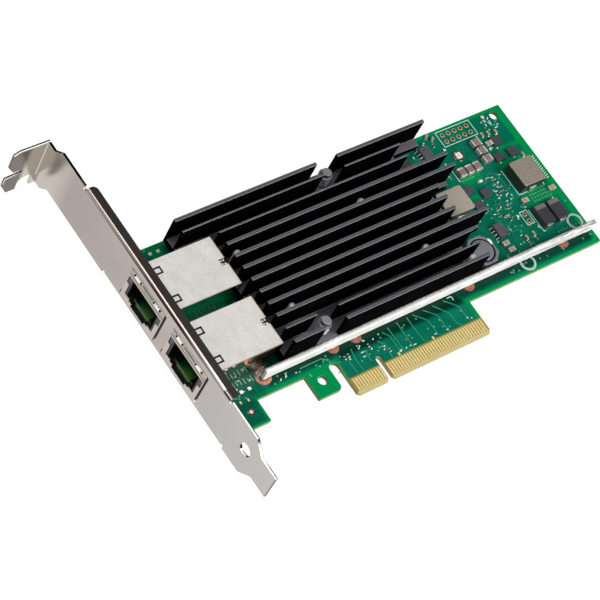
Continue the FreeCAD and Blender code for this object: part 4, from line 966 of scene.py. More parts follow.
# ------------------------------------------------------------------------------------------------
# Geometry Nodes that stand one form at many places, or sweep a section along a path
# ------------------------------------------------------------------------------------------------
@dataclass
class Grown:
    """A piece that a Geometry Nodes tree with named inputs grows from points or from paths.

    Edges sharper than its crisp angle, in degrees, are shaded sharp.
    """

    name: str
    surface: Surface
    crisp: ClassVar[float] = 35.0

    def seed(self) -> Piece:
        """Make the points or paths."""
        raise NotImplementedError

    def shape(self, w: Wiring, given: Any) -> Socket:
        """Wire up the tree between its inputs and its last nodes, and return the result."""
        raise NotImplementedError

    def grow(self, inputs: dict[str, tuple[str, Any]]) -> Piece:
        """Run the tree on the seed, ending in Realize Instances and Set Material.

        Args:
            inputs: Socket type and value of each named input.

        Returns:
            The result as a plain mesh object.
        """
        inputs = {**inputs, "Material": ("NodeSocketMaterial", self.surface.value.material())}
        tree = bpy.data.node_groups.new(self.name + "_tree", "GeometryNodeTree")
        new_socket = tree.interface.new_socket
        new_socket("Geometry", in_out="INPUT", socket_type="NodeSocketGeometry")
        for label, (kind, _) in inputs.items():
            new_socket(label, in_out="INPUT", socket_type=kind)
        new_socket("Geometry", in_out="OUTPUT", socket_type="NodeSocketGeometry")
        w = Wiring(tree)
        given = w.add("NodeGroupInput").node.outputs
        real = w.add("GeometryNodeRealizeInstances", self.shape(w, given))
        w.add("NodeGroupOutput", w.add("GeometryNodeSetMaterial", real,
                                       at={"Material": given["Material"]}))
        seed = self.seed()
        modifier = seed.modifiers.new(self.name, "NODES")
        modifier.node_group = tree
        for item in tree.interface.items_tree:
            if item.in_out == "INPUT" and item.name in inputs:
                modifier[item.identifier] = inputs[item.name][1]
        plain = evaluated(seed)
        bpy.data.objects.remove(seed)
        bpy.data.node_groups.remove(tree)
        shade(plain, self.crisp)
        return object_from(self.name, plain)


@dataclass
class Scatter(Grown):
    """Stands copies of one small form at listed places, each with its own turn and size."""

    form: bpy.types.Mesh
    places: Sequence[Place]
    turns: Sequence[float] = ()
    sizes: Sequence[Place] = ()

    def seed(self) -> Piece:
        """Make the points, with their turn and size as attributes.

        Returns:
            The points as a mesh object.
        """
        count = len(self.places)
        mesh = bpy.data.meshes.new(self.name)
        mesh.from_pydata([tuple(c * MM for c in place) for place in self.places], [], [])
        turns = [(0.0, 0.0, math.radians(turn)) for turn in self.turns or [0.0] * count]
        for label, values in (("turn", turns), ("size", self.sizes or [(1.0, 1.0, 1.0)] * count)):
            given = mesh.attributes.new(label, "FLOAT_VECTOR", "POINT")
            for point, value in zip(given.data, values):
                point.vector = value
        return object_from(self.name, mesh)

    def shape(self, w: Wiring, given: Any) -> Socket:
        """Stand the form on every point.

        Args:
            w: The tree's wiring.
            given: The tree's inputs.

        Returns:
            The copies.
        """
        turn, size = (w.add("GeometryNodeInputNamedAttribute", label, out="Attribute",
                            data_type="FLOAT_VECTOR") for label in ("turn", "size"))
        return w.add("GeometryNodeInstanceOnPoints", at={
            "Points": w.add("GeometryNodeMeshToPoints", given["Geometry"]),
            "Instance": w.add("GeometryNodeObjectInfo", given["Form"], out="Geometry"),
            "Rotation": turn, "Scale": size})

    def build(self) -> Piece:
        """Return the copies as one plain mesh object.

        Returns:
            The copies.
        """
        holder = object_from(self.name + "_form", self.form)
        made = self.grow({"Form": ("NodeSocketObject", holder)})
        bpy.data.objects.remove(holder)
        return made


@dataclass
class Ribbon(Grown):
    """Sweeps a flat or round section along paths, for tracks, legend lines, wires and springs."""

    paths: Sequence[Sequence[Place]]
    width_mm: float
    height_mm: float
    round_section: bool = False
    closed: bool = False
    crisp: ClassVar[float] = 40.0

    def seed(self) -> Piece:
        """Make the paths as one curve object.

        Returns:
            The curve object.
        """
        data = bpy.data.curves.new(self.name, "CURVE")
        data.dimensions = "3D"
        for path in self.paths:
            spline = data.splines.new("POLY")
            spline.points.add(len(path) - 1)
            for point, place in zip(spline.points, path):
                point.co = (*(c * MM for c in place), 1.0)
            spline.use_cyclic_u = self.closed
        return object_from(self.name, data)

    def shape(self, w: Wiring, given: Any) -> Socket:
        """Sweep the section along every path.

        Args:
            w: The tree's wiring.
            given: The tree's inputs.

        Returns:
            The swept section.
        """
        if self.round_section:
            half = w.add("Math", given["Width"], 0.5, **TIMES)
            section = w.add("GeometryNodeCurvePrimitiveCircle",
                            at={"Resolution": 10, "Radius": half})
        else:
            section = w.add("GeometryNodeCurvePrimitiveQuadrilateral",
                            at={label: given[label] for label in ("Width", "Height")})
        upright = w.add("GeometryNodeSetCurveNormal", at={"Curve": given["Geometry"]}, mode="Z_UP")
        return w.add("GeometryNodeCurveToMesh",
                     at={"Curve": upright, "Profile Curve": section, "Fill Caps": True})

    def build(self) -> Piece:
        """Return the swept section as one plain mesh object."""
        return self.grow({"Width": ("NodeSocketFloat", self.width_mm * MM),
                          "Height": ("NodeSocketFloat", self.height_mm * MM)})


def unit_box(name: str, bevel: float = 0.08) -> bpy.types.Mesh:
    """Make a box one millimetre on each side, standing on z = 0, with its edges broken.

    Args:
        name: The mesh's name.
        bevel: How wide each broken edge is, in millimetres.

    Returns:
        The mesh.
    """
    form = bmesh.new()
    add_box(form, (-0.5, -0.5, 0.0), (0.5, 0.5, 1.0))
    bmesh.ops.bevel(form, geom=form.edges[:], offset=bevel * MM, segments=1, affect="EDGES")
    return mesh_of(name, form)


def unit_ring(name: str, outer: float, inner: float, rise: float, steps: int) -> bpy.types.Mesh:
    """Make a flat ring that stands on z = 0, all in millimetres.

    Args:
        name: The mesh's name.
        outer: Outer radius.
        inner: Inner radius.
        rise: Height.
        steps: Corners round the ring.

    Returns:
        The mesh.
    """
    form = bmesh.new()
    rings = add_rings(form, (0.0, 0.0), (
        (outer, 0.0), (outer * 0.94, rise), (inner, rise), (inner, 0.0)), steps)
    join_rings(form, rings[-1], rings[0])
    return mesh_of(name, form)


def unit_disc(name: str, radius: float, rise: float, steps: int, dome: float = 0.0) -> bpy.types.Mesh:
    """Make a disc or low dome that stands on z = 0, all in millimetres.

    Args:
        name: The mesh's name.
        radius: Radius.
        rise: Height of the shoulder.
        steps: Corners round the disc.
        dome: How far the middle rises above the shoulder.

    Returns:
        The mesh.
    """
    form = bmesh.new()
    profile = [(radius, 0.0), (radius, rise * 0.6), (radius * 0.85, rise)]
    if dome:
        profile += [(radius * 0.5, rise + dome * 0.8), (radius * 0.12, rise + dome)]
    add_lathe(form, (0.0, 0.0), profile, steps)
    return mesh_of(name, form)


def raised(points: Sequence[Point], height: float = 0.0) -> list[Place]:
    """Stand points of the board's plane at a height above it, in millimetres."""
    return [(x, y, height) for x, y in points]


# ------------------------------------------------------------------------------------------------
# Sub-assemblies
# ------------------------------------------------------------------------------------------------
@dataclass
class Assembly:
    """A group of pieces of the card, which share its frame."""

    frame: dict[str, Any]

    def add(self, piece: Piece, surface: Surface, slot: str, nodes: Sequence[str] = ()) -> None:
        """Dress a piece, seat it on the card and hide the CAD nodes that it replaces.

        Args:
            piece: A plain mesh object at the origin.
            surface: Its finish.
            slot: The record's material slot; not used.
            nodes: CAD nodes that it replaces.
        """
        piece.data.materials.clear()
        piece.data.materials.append(surface.value.material())
        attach(piece, BODY)
        if nodes:
            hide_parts(*nodes)
        LOG.info("%s: %d faces", piece.name, len(piece.data.polygons))

    def cover(self, node: str, surface: Surface, slot: str, width_mm: float, segments: int) -> None:
        """Stand a copy with broken edges in for a CAD node.

        Args:
            node: The CAD node.
            surface: The copy's finish.
            slot: The record's material slot.
            width_mm: How wide its broken edges are.
            segments: Faces across each broken edge.
        """
        self.add(softened(node, width_mm, segments), surface, slot, (node,))

    def model(
        self, name: str, form: Form, surface: Surface, slot: str, nodes: Sequence[str] = (),
    ) -> None:
        """Add a piece from a bmesh, which is freed."""
        self.add(object_from(name, mesh_of(name, form)), surface, slot, nodes)

    def grow(self, grown: Grown, slot: str, nodes: Sequence[str] = ()) -> None:
        """Add a piece that Geometry Nodes grow."""
        self.add(grown.build(), grown.surface, slot, nodes)

    def build(self) -> None:
        """Make the assembly's pieces."""
        raise NotImplementedError


@dataclass
class Board(Assembly):
    """The circuit board: mask, fingers, tracks, vias, bare pads and legend.

    A via and a legend ring have an outer and an inner radius. An alignment mark and the gap round
    it have a radius and a rise.
    """

    track_rise: float = 0.012
    fan_width: float = 0.42
    track_width: float = 0.24
    legend_rise: float = 0.018
    legend_width: float = 0.28
    via: tuple[float, float] = (0.32, 0.14)
    header_pad: float = 0.82
    header_bore: float = 0.5
    legend_dot: float = 0.26
    legend_ring: Point = (2.9, 2.1)
    mark: Point = (0.62, 0.03)
    mark_gap: Point = (1.1, 0.012)
    mark_places: tuple[Point, Point] = ((87.3, 65.8), (-46.25, 9.2))
    solder_face: float = -1.57
    header_pitch: float = 2.54
    jack_pin_pitch: Point = (2.54, 1.02)

    def build(self) -> None:
        """Make the board's pieces."""
        slots = self.frame["nodes"]["circuit_board"].data.materials
        slots.clear()
        slots.append(Surface.MASK.value.material())
        self.cover("edge_contacts", Surface.GOLD, "gold", 0.03, 1)
        self.tracks()
        self.grow(Scatter("vias", Surface.VIA, unit_ring("via_form", *self.via, 0.014, 10),
                          raised(self.via_places())), "board")
        self.bare_pads()
        self.joints()
        self.legend()

    def tracks(self) -> None:
        """Lay the tracks that fan out above the fingers, and the short ones by the chips."""
        fan = (
            ((17.0, 15.4), (17.0, 12.0), (17.3, 6.4)), ((19.3, 15.4), (22.8, 11.9), (22.9, 6.2)),
            ((23.4, 15.4), (26.8, 12.0), (26.9, 5.9)),
            ((27.2, 15.4), (30.9, 11.0), (31.0, 7.2), (32.1, 6.0)),
            ((31.6, 15.4), (35.2, 11.8), (35.4, 6.6)), ((12.9, 15.4), (12.9, 6.1)),
            ((9.1, 15.0), (9.4, 6.1)), ((6.5, 14.4), (8.1, 12.4), (8.1, 6.1)),
            ((3.4, 12.6), (4.6, 11.2), (4.6, 6.1)), ((-1.6, 11.4), (-2.3, 10.4), (-2.3, 7.7)),
            ((-6.0, 13.8), (-6.6, 10.6), (-6.6, 6.2)), ((-9.0, 10.6), (-8.8, 6.2)),
            ((-24.5, 14.8), (-16.5, 14.8), (-13.0, 11.6), (-11.4, 11.6)))
        near = (
            ((70.7, 44.8), (72.4, 44.8), (74.4, 46.9), (76.4, 47.3), (78.2, 45.4), (78.2, 41.0)),
            ((73.7, 38.3), (72.6, 37.2), (72.6, 36.6)), ((66.8, 33.4), (66.8, 31.6), (68.4, 31.2)),
            ((70.0, 36.4), (70.9, 37.6), (70.9, 38.7)), ((54.9, 60.9), (56.1, 60.6)),
            ((62.4, 62.0), (64.2, 62.3), (65.1, 63.9)), ((90.6, 24.6), (92.0, 26.2), (92.0, 31.6)),
            ((76.9, 27.2), (78.8, 25.1), (79.6, 25.1)), ((69.0, 26.4), (71.4, 26.4), (72.6, 25.2)),
            ((68.4, 29.0), (70.4, 29.0), (71.6, 30.4)),
            ((-46.2, 63.0), (-45.6, 60.2), (-42.4, 60.2)),
            ((-52.4, 16.0), (-47.6, 16.0), (-46.1, 17.2)))
        for name, runs, width in (("finger_tracks", fan, self.fan_width),
                                  ("power_tracks", near, self.track_width)):
            self.grow(Ribbon(name, Surface.TRACK, [raised(run, self.track_rise / 2) for run in runs],
                             width, self.track_rise), "board")

    def via_places(self) -> list[Point]:
        """Work out where the vias stand: rows by the power parts and a scatter in between.

        Returns:
            Their places on the board's face.
        """
        places = [(83.8 + column * 1.15, 32.6 + row * 1.25) for row in range(4) for column in range(7)]
        places += [(84.2 + column * 1.25, 20.2) for column in range(8)]
        places += [(65.3 + column * 1.1, 48.2) for column in range(5)]
        places += [(-28.2, 44.1), (-30.2, 41.5), (-45.6, 67.0), (-33.6, 66.8)]
        chance = random.Random(17)
        areas = ((58, 24, 79, 36, 26), (58, 48, 65, 57, 8), (70, 32, 80, 47, 16), (84, 60, 94, 67, 7),
                 (44, 14, 94, 15.5, 12), (-52, 6, -43, 23, 9), (-23, 8, -14, 15, 8),
                 (-11, 7, 36, 15, 22), (59, 17.8, 78, 21, 12), (-36, 12.6, -14, 15.8, 8),
                 (90, 22, 95, 50, 12))
        for left, low, right, high, count in areas:
            places += [(chance.uniform(left, right), chance.uniform(low, high)) for _ in range(count)]
        return places

    def header_places(self) -> list[Point]:
        """List where the unfilled header holes stand.

        Returns:
            Their places on the board's face.
        """
        pitch = self.header_pitch
        ten = [(69.6 + pitch * column, 62.7 + pitch * row) for column in range(5) for row in range(2)]
        return ten + [(77.25, 30.0), (77.25, 27.5)]

    def bare_pads(self) -> None:
        """Make the unfilled holes and lands, the alignment marks and the gold spots in the foot."""
        lands = ((-44.4, 65.5), (-41.6, 65.4), (-45.1, 22.0), (-42.6, 22.2), (-45.3, 15.7),
                 (-42.4, 15.7))
        spots = ((-47.5, 12.9), (-44.8, 12.7), (7.1, 6.2), (20.6, 6.2))
        pad = unit_ring("header_form", self.header_pad, self.header_bore, 0.03, 20)
        bore = unit_disc("bore_form", self.header_bore, 0.008, 16)
        for name, surface, form, places, sizes, slot in (
            ("header_pads", Surface.ANNULUS, pad, self.header_places(), (), "copper"),
            ("header_bores", Surface.DRILLED, bore, self.header_places(), (), "board"),
            ("bare_lands", Surface.LEVELLED, unit_box("land_form"), lands,
             [(1.1, 1.0, 0.09)] * len(lands), "board"),
            ("gold_spots", Surface.GOLD, unit_box("spot_form"), spots,
             [(0.5, 0.9, 0.05)] * 2 + [(0.7, 1.0, 0.05)] * 2, "board"),
            ("fiducial_gaps", Surface.DRILLED, unit_disc("gap_form", *self.mark_gap, 28),
             self.mark_places[1:], (), "board"),
            ("fiducials", Surface.FIDUCIAL, unit_disc("fiducial_form", *self.mark, 24),
             self.mark_places, (), "copper"),
        ):
            self.grow(Scatter(name, surface, form, raised(places), sizes=sizes), slot)

    def joints(self) -> None:
        """Solder the sockets' pins and shield tabs, seen as cones on the board's far face."""
        pins, rings = bmesh.new(), bmesh.new()
        face = self.solder_face
        across, along = self.jack_pin_pitch
        for centre in Jacks.centres:
            cones = [(-41.0 + across * (at % 2), centre - 5.6 + along * at, 0.55) for at in range(12)]
            cones += [(x, centre + side, 1.0) for x in (-47.0, -34.5) for side in (-8.1, 8.1)]
            for x, y, reach in cones:
                add_lathe(pins, (x, y), ((0.2, face - 0.85), (0.32, face - 0.45),
                                         (reach * 0.75, face - 0.12), (reach, face + 0.01)), 12)
        for place in self.header_places():
            add_lathe(rings, place, ((self.header_bore, face - 0.03), (self.header_pad, face - 0.03),
                                     (self.header_pad, face + 0.01)), 14)
        self.model("pin_joints", pins, Surface.SOLDER, "tin_plate")
        self.model("far_header_pads", rings, Surface.ANNULUS, "copper")

    def print_lines(self, name: str, runs: Sequence[Sequence[Point]], closed: bool = False) -> None:
        """Print some of the legend's lines."""
        self.grow(Ribbon(name, Surface.LEGEND, [raised(run, self.legend_rise / 2) for run in runs],
                         self.legend_width, self.legend_rise, closed=closed), "board")

    def legend(self) -> None:
        """Print the legend's lines, rings, corner marks and triangles, and no words."""
        self.print_lines("legend_boxes", (
            ((67.7, 61.1), (81.75, 61.1), (81.75, 66.8), (67.7, 66.8)),
            ((75.8, 26.3), (78.7, 26.3), (78.7, 31.2), (75.8, 31.2))), closed=True)
        ticks = [((93.8, 38.2 + step * 0.85), (94.6, 38.5 + step * 0.85)) for step in range(11)]
        self.print_lines("legend_lines", [
            ((80.2, 46.6), (80.2, 36.6), (83.6, 36.6)), ((91.1, 36.6), (91.1, 46.6), (87.9, 46.6)),
            ((60.9, 46.9), (60.9, 43.6)), ((55.0, 61.3), (55.0, 62.3)),
            ((33.3, 15.6), (35.0, 15.6), (35.0, 14.2)), ((79.5, 30.9), (79.5, 22.3), (80.4, 22.3)),
            ((-47.4, 20.0), (-46.4, 20.0)), ((64.2, 48.4), (64.2, 52.8)),
            ((80.0, 57.4), (80.9, 57.4)), *ticks])
        self.print_lines("legend_strokes", self.strokes())
        form = bmesh.new()
        for outline in (((66.6, 60.9), (67.5, 60.2), (66.5, 59.9)),
                        ((74.3, 31.0), (74.3, 29.6), (75.3, 30.3))):
            add_prism(form, outline, 0.0, self.legend_rise)
        self.model("legend_triangles", form, Surface.LEGEND, "board")
        dots = ((82.2, 49.0), (88.0, 49.0), (84.6, 54.1), (61.6, 42.6), (66.9, 39.7), (61.9, 36.8),
                (56.4, 58.3), (62.2, 25.2), (-40.6, 18.0), (90.6, 31.4))
        dot = unit_disc("dot_form", self.legend_dot, self.legend_rise, 12)
        ring = unit_ring("ring_form", *self.legend_ring, self.legend_rise, 40)
        self.grow(Scatter("legend_dots", Surface.LEGEND, dot, raised(dots)), "board")
        # The rings' grey ink is a painted shade.
        self.grow(Scatter("legend_rings", Surface.SHADED_LEGEND, ring,
                          raised(((66.8, 15.25), (92.0, 21.2)))), "board")

    def strokes(self) -> list[list[Point]]:
        """Return the short strokes that bracket the small parts, in groups beside them.

        Returns:
            The two ends of each stroke.
        """
        chance = random.Random(41)
        ways = ((1.0, 0.0), (0.0, 1.0), (1.0, 0.0), (0.7, 0.7))
        runs = []
        areas = ((84.0, 61.5, 90.5, 65.0, 10), (57.0, 63.5, 62.0, 66.0, 6),
                 (78.0, 50.5, 83.0, 56.5, 7), (71.5, 33.5, 78.5, 46.0, 14),
                 (58.5, 33.5, 69.0, 41.5, 9), (66.5, 20.5, 80.0, 32.5, 12),
                 (59.0, 50.0, 64.0, 57.0, 5), (79.5, 60.0, 90.0, 61.5, 4),
                 (-12.0, 9.5, 5.5, 14.5, 9), (-52.0, 15.0, -44.0, 21.5, 5),
                 (5.0, 6.6, 38.0, 7.6, 9), (-34.0, 13.8, -26.0, 15.4, 4))
        for left, low, right, high, count in areas:
            for _ in range(count):
                x, y = chance.uniform(left, right), chance.uniform(low, high)
                along = chance.choice(ways)
                reach = chance.uniform(0.5, 1.1)
                runs.append([(x, y), (x + along[0] * reach, y + along[1] * reach)])
        return runs


@dataclass
class Bracket(Assembly):
    """The slot bracket and the screws and nuts that hold it to the board."""

    face_x: float = -58.94
    sheet: float = 0.86
    crease_width: float = 0.3
    crease_z: Point = (-3.59, 12.4)

    def crease(self) -> None:
        """Show the bright fold where the flange leaves the face."""
        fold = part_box("io_bracket")[1][1] / MM - self.sheet
        form = bmesh.new()
        add_prism(form, ((self.face_x, fold), (self.face_x - self.crease_width, fold),
                         (self.face_x, fold - self.crease_width)), *self.crease_z)
        self.model("flange_crease", form, Surface.BRACKET, "bracket_steel")

    def build(self) -> None:
        """Make the bracket's pieces."""
        # The bracket's finish paints reflection, shade and highlights into its colour.
        self.cover("io_bracket", Surface.BRACKET, "bracket_steel", 0.0, 2)
        self.crease()
        for node in ("bracket_screws", "bracket_nuts"):
            self.cover(node, Surface.NICKEL, "screw_steel", 0.08, 1)


@dataclass
class Jacks(Assembly):
    """The two shielded network sockets.

    A score, a slit or a row of joints reaches from its first number to its second. The band over a
    mouth has half its width, its foot and its head. Tabs, lugs, notch and finger holes lie beside
    each socket's middle.
    """

    centres: tuple[float, ...] = (50.1, 28.4)
    proud: float = 0.05
    band: tuple[float, float, float] = (8.5, 8.45, 11.35)
    scores: tuple[Point, ...] = ((8.95, 9.2), (10.0, 10.12))
    finger_holes: tuple[float, ...] = (-6.35, -3.4, 3.5, 6.45)
    finger_hole_half: float = 0.24
    tabs: tuple[float, float] = (-5.1, 4.9)
    tab_half: float = 1.25
    tab_x: tuple[float, float] = (-55.0, -51.2)
    slit_widths: tuple[float, float] = (0.57, 0.56)
    slit_depth: float = 0.06
    skin: float = 0.012
    lugs: tuple[Point, ...] = ((-1.7, -0.75), (-1.7, 0.2), (-0.8, -0.9), (-0.8, 0.3))
    notch: tuple[float, float] = (-1.4, 0.9)
    # Back of the dark strips that paint shade into the window gaps.
    gap_shade_back: float = -58.3
    joint_rows: tuple[Point, ...] = ((-50.0, -36.5), (-49.0, -38.5))
    joints: int = 9

    def build(self) -> None:
        """Make the sockets' pieces."""
        for letter in "ab":
            self.cover(f"jack_shield_{letter}", Surface.SHIELD, "tin_shield", 0.06, 2)
            self.cover(f"jack_housing_{letter}", Surface.NYLON, "black_moulding", 0.07, 1)
            self.cover(f"jack_contacts_{letter}", Surface.GOLD, "gold", 0.04, 1)
        self.cover("jack_light_pipes", Surface.LIGHT_PIPE, "light_pipe", 0.12, 2)
        self.cover("jack_spring_fingers", Surface.BRIGHT_TIN, "tin_shield", 0.0, 2)
        low, high = (tuple(side / MM for side in corner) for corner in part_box("jack_shield_a"))
        self.face_bands(low[0])
        self.roof_slits(high[0], high[2])
        self.roof_edges(high[0], high[2], (high[1] - low[1]) / 2)
        self.gap_shades()
        self.side_joints()

    def face_bands(self, front: float) -> None:
        """Score the rolled band over each mouth and edge it with dark brown lines and strips, a painted
        shade, and pierce it with dark holes at the ends of the spring fingers.

        Args:
            front: X of the shields' front.
        """
        band, scores, holes = bmesh.new(), bmesh.new(), bmesh.new()
        out = front + self.proud
        half, foot, head = self.band
        for y in self.centres:
            add_box(band, (front - 0.02, y - half, foot), (out, y + half, head))
            for low, high in self.scores:
                add_box(scores, (front - 0.035, y - 8.45, low), (out, y + 8.45, high))
            add_box(scores, (front - 0.04, y - 2.7, 10.62), (out, y + 2.6, 11.1))
            add_box(scores, (front - 0.04, y + 6.9, 11.2), (out, y + 8.5, 11.38))
            for reach in self.finger_holes:
                add_box(holes, (front - 0.31, y + reach - self.finger_hole_half, 10.45),
                        (out, y + reach + self.finger_hole_half, 11.05))
        self.model("face_bands", band, Surface.BAND, "tin_shield")
        self.model("band_scores", scores, Surface.BROWN_SHADE, "tin_shield")
        self.model("band_holes", holes, Surface.HOLE, "tin_shield")

    def roof_slits(self, back: float, top: float) -> None:
        """Darken the slits round the roof tabs and the swaged notch at the back of each roof with black
        strips: painted shade.

        Args:
            back: X of the shields' back.
            top: Height of their roofs.
        """
        slits, lugs = bmesh.new(), bmesh.new()
        half, (start, end) = self.tab_half, self.tab_x
        inner, cross = half - self.slit_widths[0], end - self.slit_widths[1]
        for y in self.centres:
            for tab in self.tabs:
                for x, low, high in ((start, -half, -inner), (start, inner, half), (cross, -half, half)):
                    add_box(slits, (x, y + tab + low, top - self.slit_depth),
                            (end, y + tab + high, top + self.skin))
            add_box(slits, (back - 2.25, y - 1.35, top - 0.5), (back - 0.01, y + 0.85, top - 0.25))
            for along, reach in self.lugs:
                add_lathe(lugs, (back + along, y + reach),
                          ((0.3, top - 0.25), (0.3, top - 0.08), (0.12, top)), 12)
        self.model("roof_slits", slits, Surface.NYLON, "black_moulding")
        self.model("swaged_lugs", lugs, Surface.TIN, "tin_shield")

    def roof_edges(self, back: float, top: float, half: float) -> None:
        """Paint the brassy sheet edge along the two sides of each roof that catch the light: a painted
        highlight.

        Args:
            back: X of the shields' back.
            top: Height of their roofs.
            half: Half their width.
        """
        form = bmesh.new()
        start, end = self.notch
        for y in self.centres:
            for x, low, high in ((-56.0, -half, 0.2 - half), (back - 0.2, -half, start),
                                 (back - 0.2, end, half)):
                add_box(form, (x, y + low, top - 0.1), (back, y + high, top + self.skin))
        self.model("sheet_edges", form, Surface.EDGE_HIGHLIGHT, "tin_shield")

    def gap_shades(self) -> None:
        """Fill the gap round each socket in its window with a dark strip, a painted shade, and line its
        other side with a steel lip.
        """
        shade_strips, lip = bmesh.new(), bmesh.new()
        back = self.gap_shade_back
        for y in self.centres:
            add_box(shade_strips, (-58.97, y - 9.3, 0.2), (back, y - 8.56, 11.4))
            add_box(shade_strips, (-58.8, y - 8.93, 11.41), (back, y + 8.93, 11.58))
            add_box(lip, (-58.96, y + 8.56, 0.2), (back, y + 8.93, 11.4))
        self.model("window_gaskets", shade_strips, Surface.BROWN_SHADE, "black_moulding")
        self.model("window_lips", lip, Surface.BRACKET, "bracket_steel")

    def side_joints(self) -> None:
        """Lay the row of small soldered lands on the board beside each socket."""
        places, sizes = [], []
        chance = random.Random(23)
        for y, (low, high) in zip(self.centres, self.joint_rows):
            for step in range(self.joints):
                x = low + (high - low) * step / (self.joints - 1)
                places.append((x, y - 10.1 + chance.uniform(-0.35, 0.35)))
                sizes.append((0.32, chance.uniform(1.2, 2.3), 0.04))
        self.grow(Scatter("side_joints", Surface.DULL_JOINT, unit_box("side_joint_form"),
                          raised(places), sizes=sizes), "tin_plate")


@dataclass
class Heatsink(Assembly):
    """The finned sink over the controller, with its sprung screws and its pins.

    Each spring is wound from low to high, in turns of so many steps.
    """

    screws: tuple[Point, ...] = ((16.9, 64.0), (-14.2, 21.3))
    spring_radius: float = 1.95
    spring_wire: float = 0.42
    spring_low: float = 5.0
    spring_high: float = 8.9
    spring_turns: float = 4.5
    turn_steps: int = 20

    def build(self) -> None:
        """Make the sink's pieces."""
        # The anodised finish paints a sheen on the tops and highlights on the broken edges.
        self.cover("heatsink", Surface.ANODISED, "black_anodised", 0.09, 0)
        self.turned_screws()
        springs = Ribbon("screw_springs", Surface.SPRING, [self.coil(at) for at in self.screws],
                         self.spring_wire, self.spring_wire, round_section=True)
        self.grow(springs, "spring_wire", ("heatsink_springs",))
        self.cover("heatsink_nuts", Surface.NICKEL, "screw_steel", 0.1, 1)
        self.cover("heatsink_pins", Surface.LEVELLED, "nickel", 0.15, 2)
        self.cover("thermal_pad", Surface.GREASE, "thermal_pad", 0.05, 1)
        self.cover("controller_lid", Surface.NICKEL, "nickel", 0.12, 2)
        self.cover("controller_substrate", Surface.SUBSTRATE, "substrate", 0.05, 1)

    def turned_screws(self) -> None:
        """Turn the two captive screws: head, collar over the spring, and shaft."""
        (left, _, bottom), (right, _, top) = (
            tuple(side / MM for side in corner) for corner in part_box("heatsink_screws"))
        form = bmesh.new()
        for place in self.screws:
            reach = right - place[0] if place[0] > 0 else place[0] - left
            add_lathe(form, place, (
                (1.2, bottom), (1.2, top - 1.85), (reach, top - 1.8), (reach, top - 1.55),
                (1.3, top - 1.5), (1.3, top - 0.75), (1.5, top - 0.7), (1.5, top - 0.12),
                (1.4, top)), 32)
        # The heads' finish paints a grey sheen on their tops and highlights on their edges.
        self.model("captive_screws", form, Surface.BLACK_STEEL, "screw_steel", ("heatsink_screws",))

    def coil(self, centre: Point) -> list[Place]:
        """Return the path of the spring wound round a screw.

        Args:
            centre: X and Y of the screw.

        Returns:
            Its points, in millimetres.
        """
        path = []
        steps = int(self.spring_turns * self.turn_steps)
        for step in range(steps + 1):
            angle = 2 * math.pi * self.spring_turns * step / steps
            height = self.spring_low + (self.spring_high - self.spring_low) * step / steps
            path.append((centre[0] + self.spring_radius * math.cos(angle),
                         centre[1] + self.spring_radius * math.sin(angle), height))
        return path


@dataclass
class Stiffener(Assembly):
    """The tinned bar soldered along the board, and its copper pads."""

    def build(self) -> None:
        """Make the bar's pieces."""
        self.cover("stiffener_bar", Surface.BAR, "plated_bar", 0.3, 3)
        self.cover("solder_pads", Surface.COPPER, "copper", 0.02, 1)
        self.grow(Scatter("round_lands", Surface.BRIGHT_COPPER, unit_disc("land_disc", 1.0, 0.03, 36),
                          raised(((-36.4, 17.16), (-35.4, 22.07))),
                          sizes=((2.6, 2.6, 1.4), (2.6, 2.6, 1.2))), "copper")
        # Each drop of solder: where it lies, its turn and its size against the form's.
        drops = (((-37.5, 19.0, 0.04), 25.0, (1.3, 0.45, 2.4)),
                 ((-36.6, 18.6, 0.05), 60.0, (1.2, 0.4, 2.8)),
                 ((-36.3, 17.4, 0.04), 110.0, (0.9, 0.45, 3.0)),
                 ((-38.0, 17.9, 0.04), 40.0, (1.0, 0.35, 2.0)),
                 ((-34.9, 20.6, 0.05), 80.0, (1.1, 0.3, 1.4)),
                 ((-36.2, 20.2, 0.05), 15.0, (0.9, 0.5, 1.8)))
        # The drops' bright and dark streaks are a painted reflection.
        self.grow(Scatter("solder_blobs", Surface.SOLDER_GLINTS,
                          unit_disc("blob_form", 0.9, 0.12, 18, 0.35), *zip(*drops)), "plated_bar")


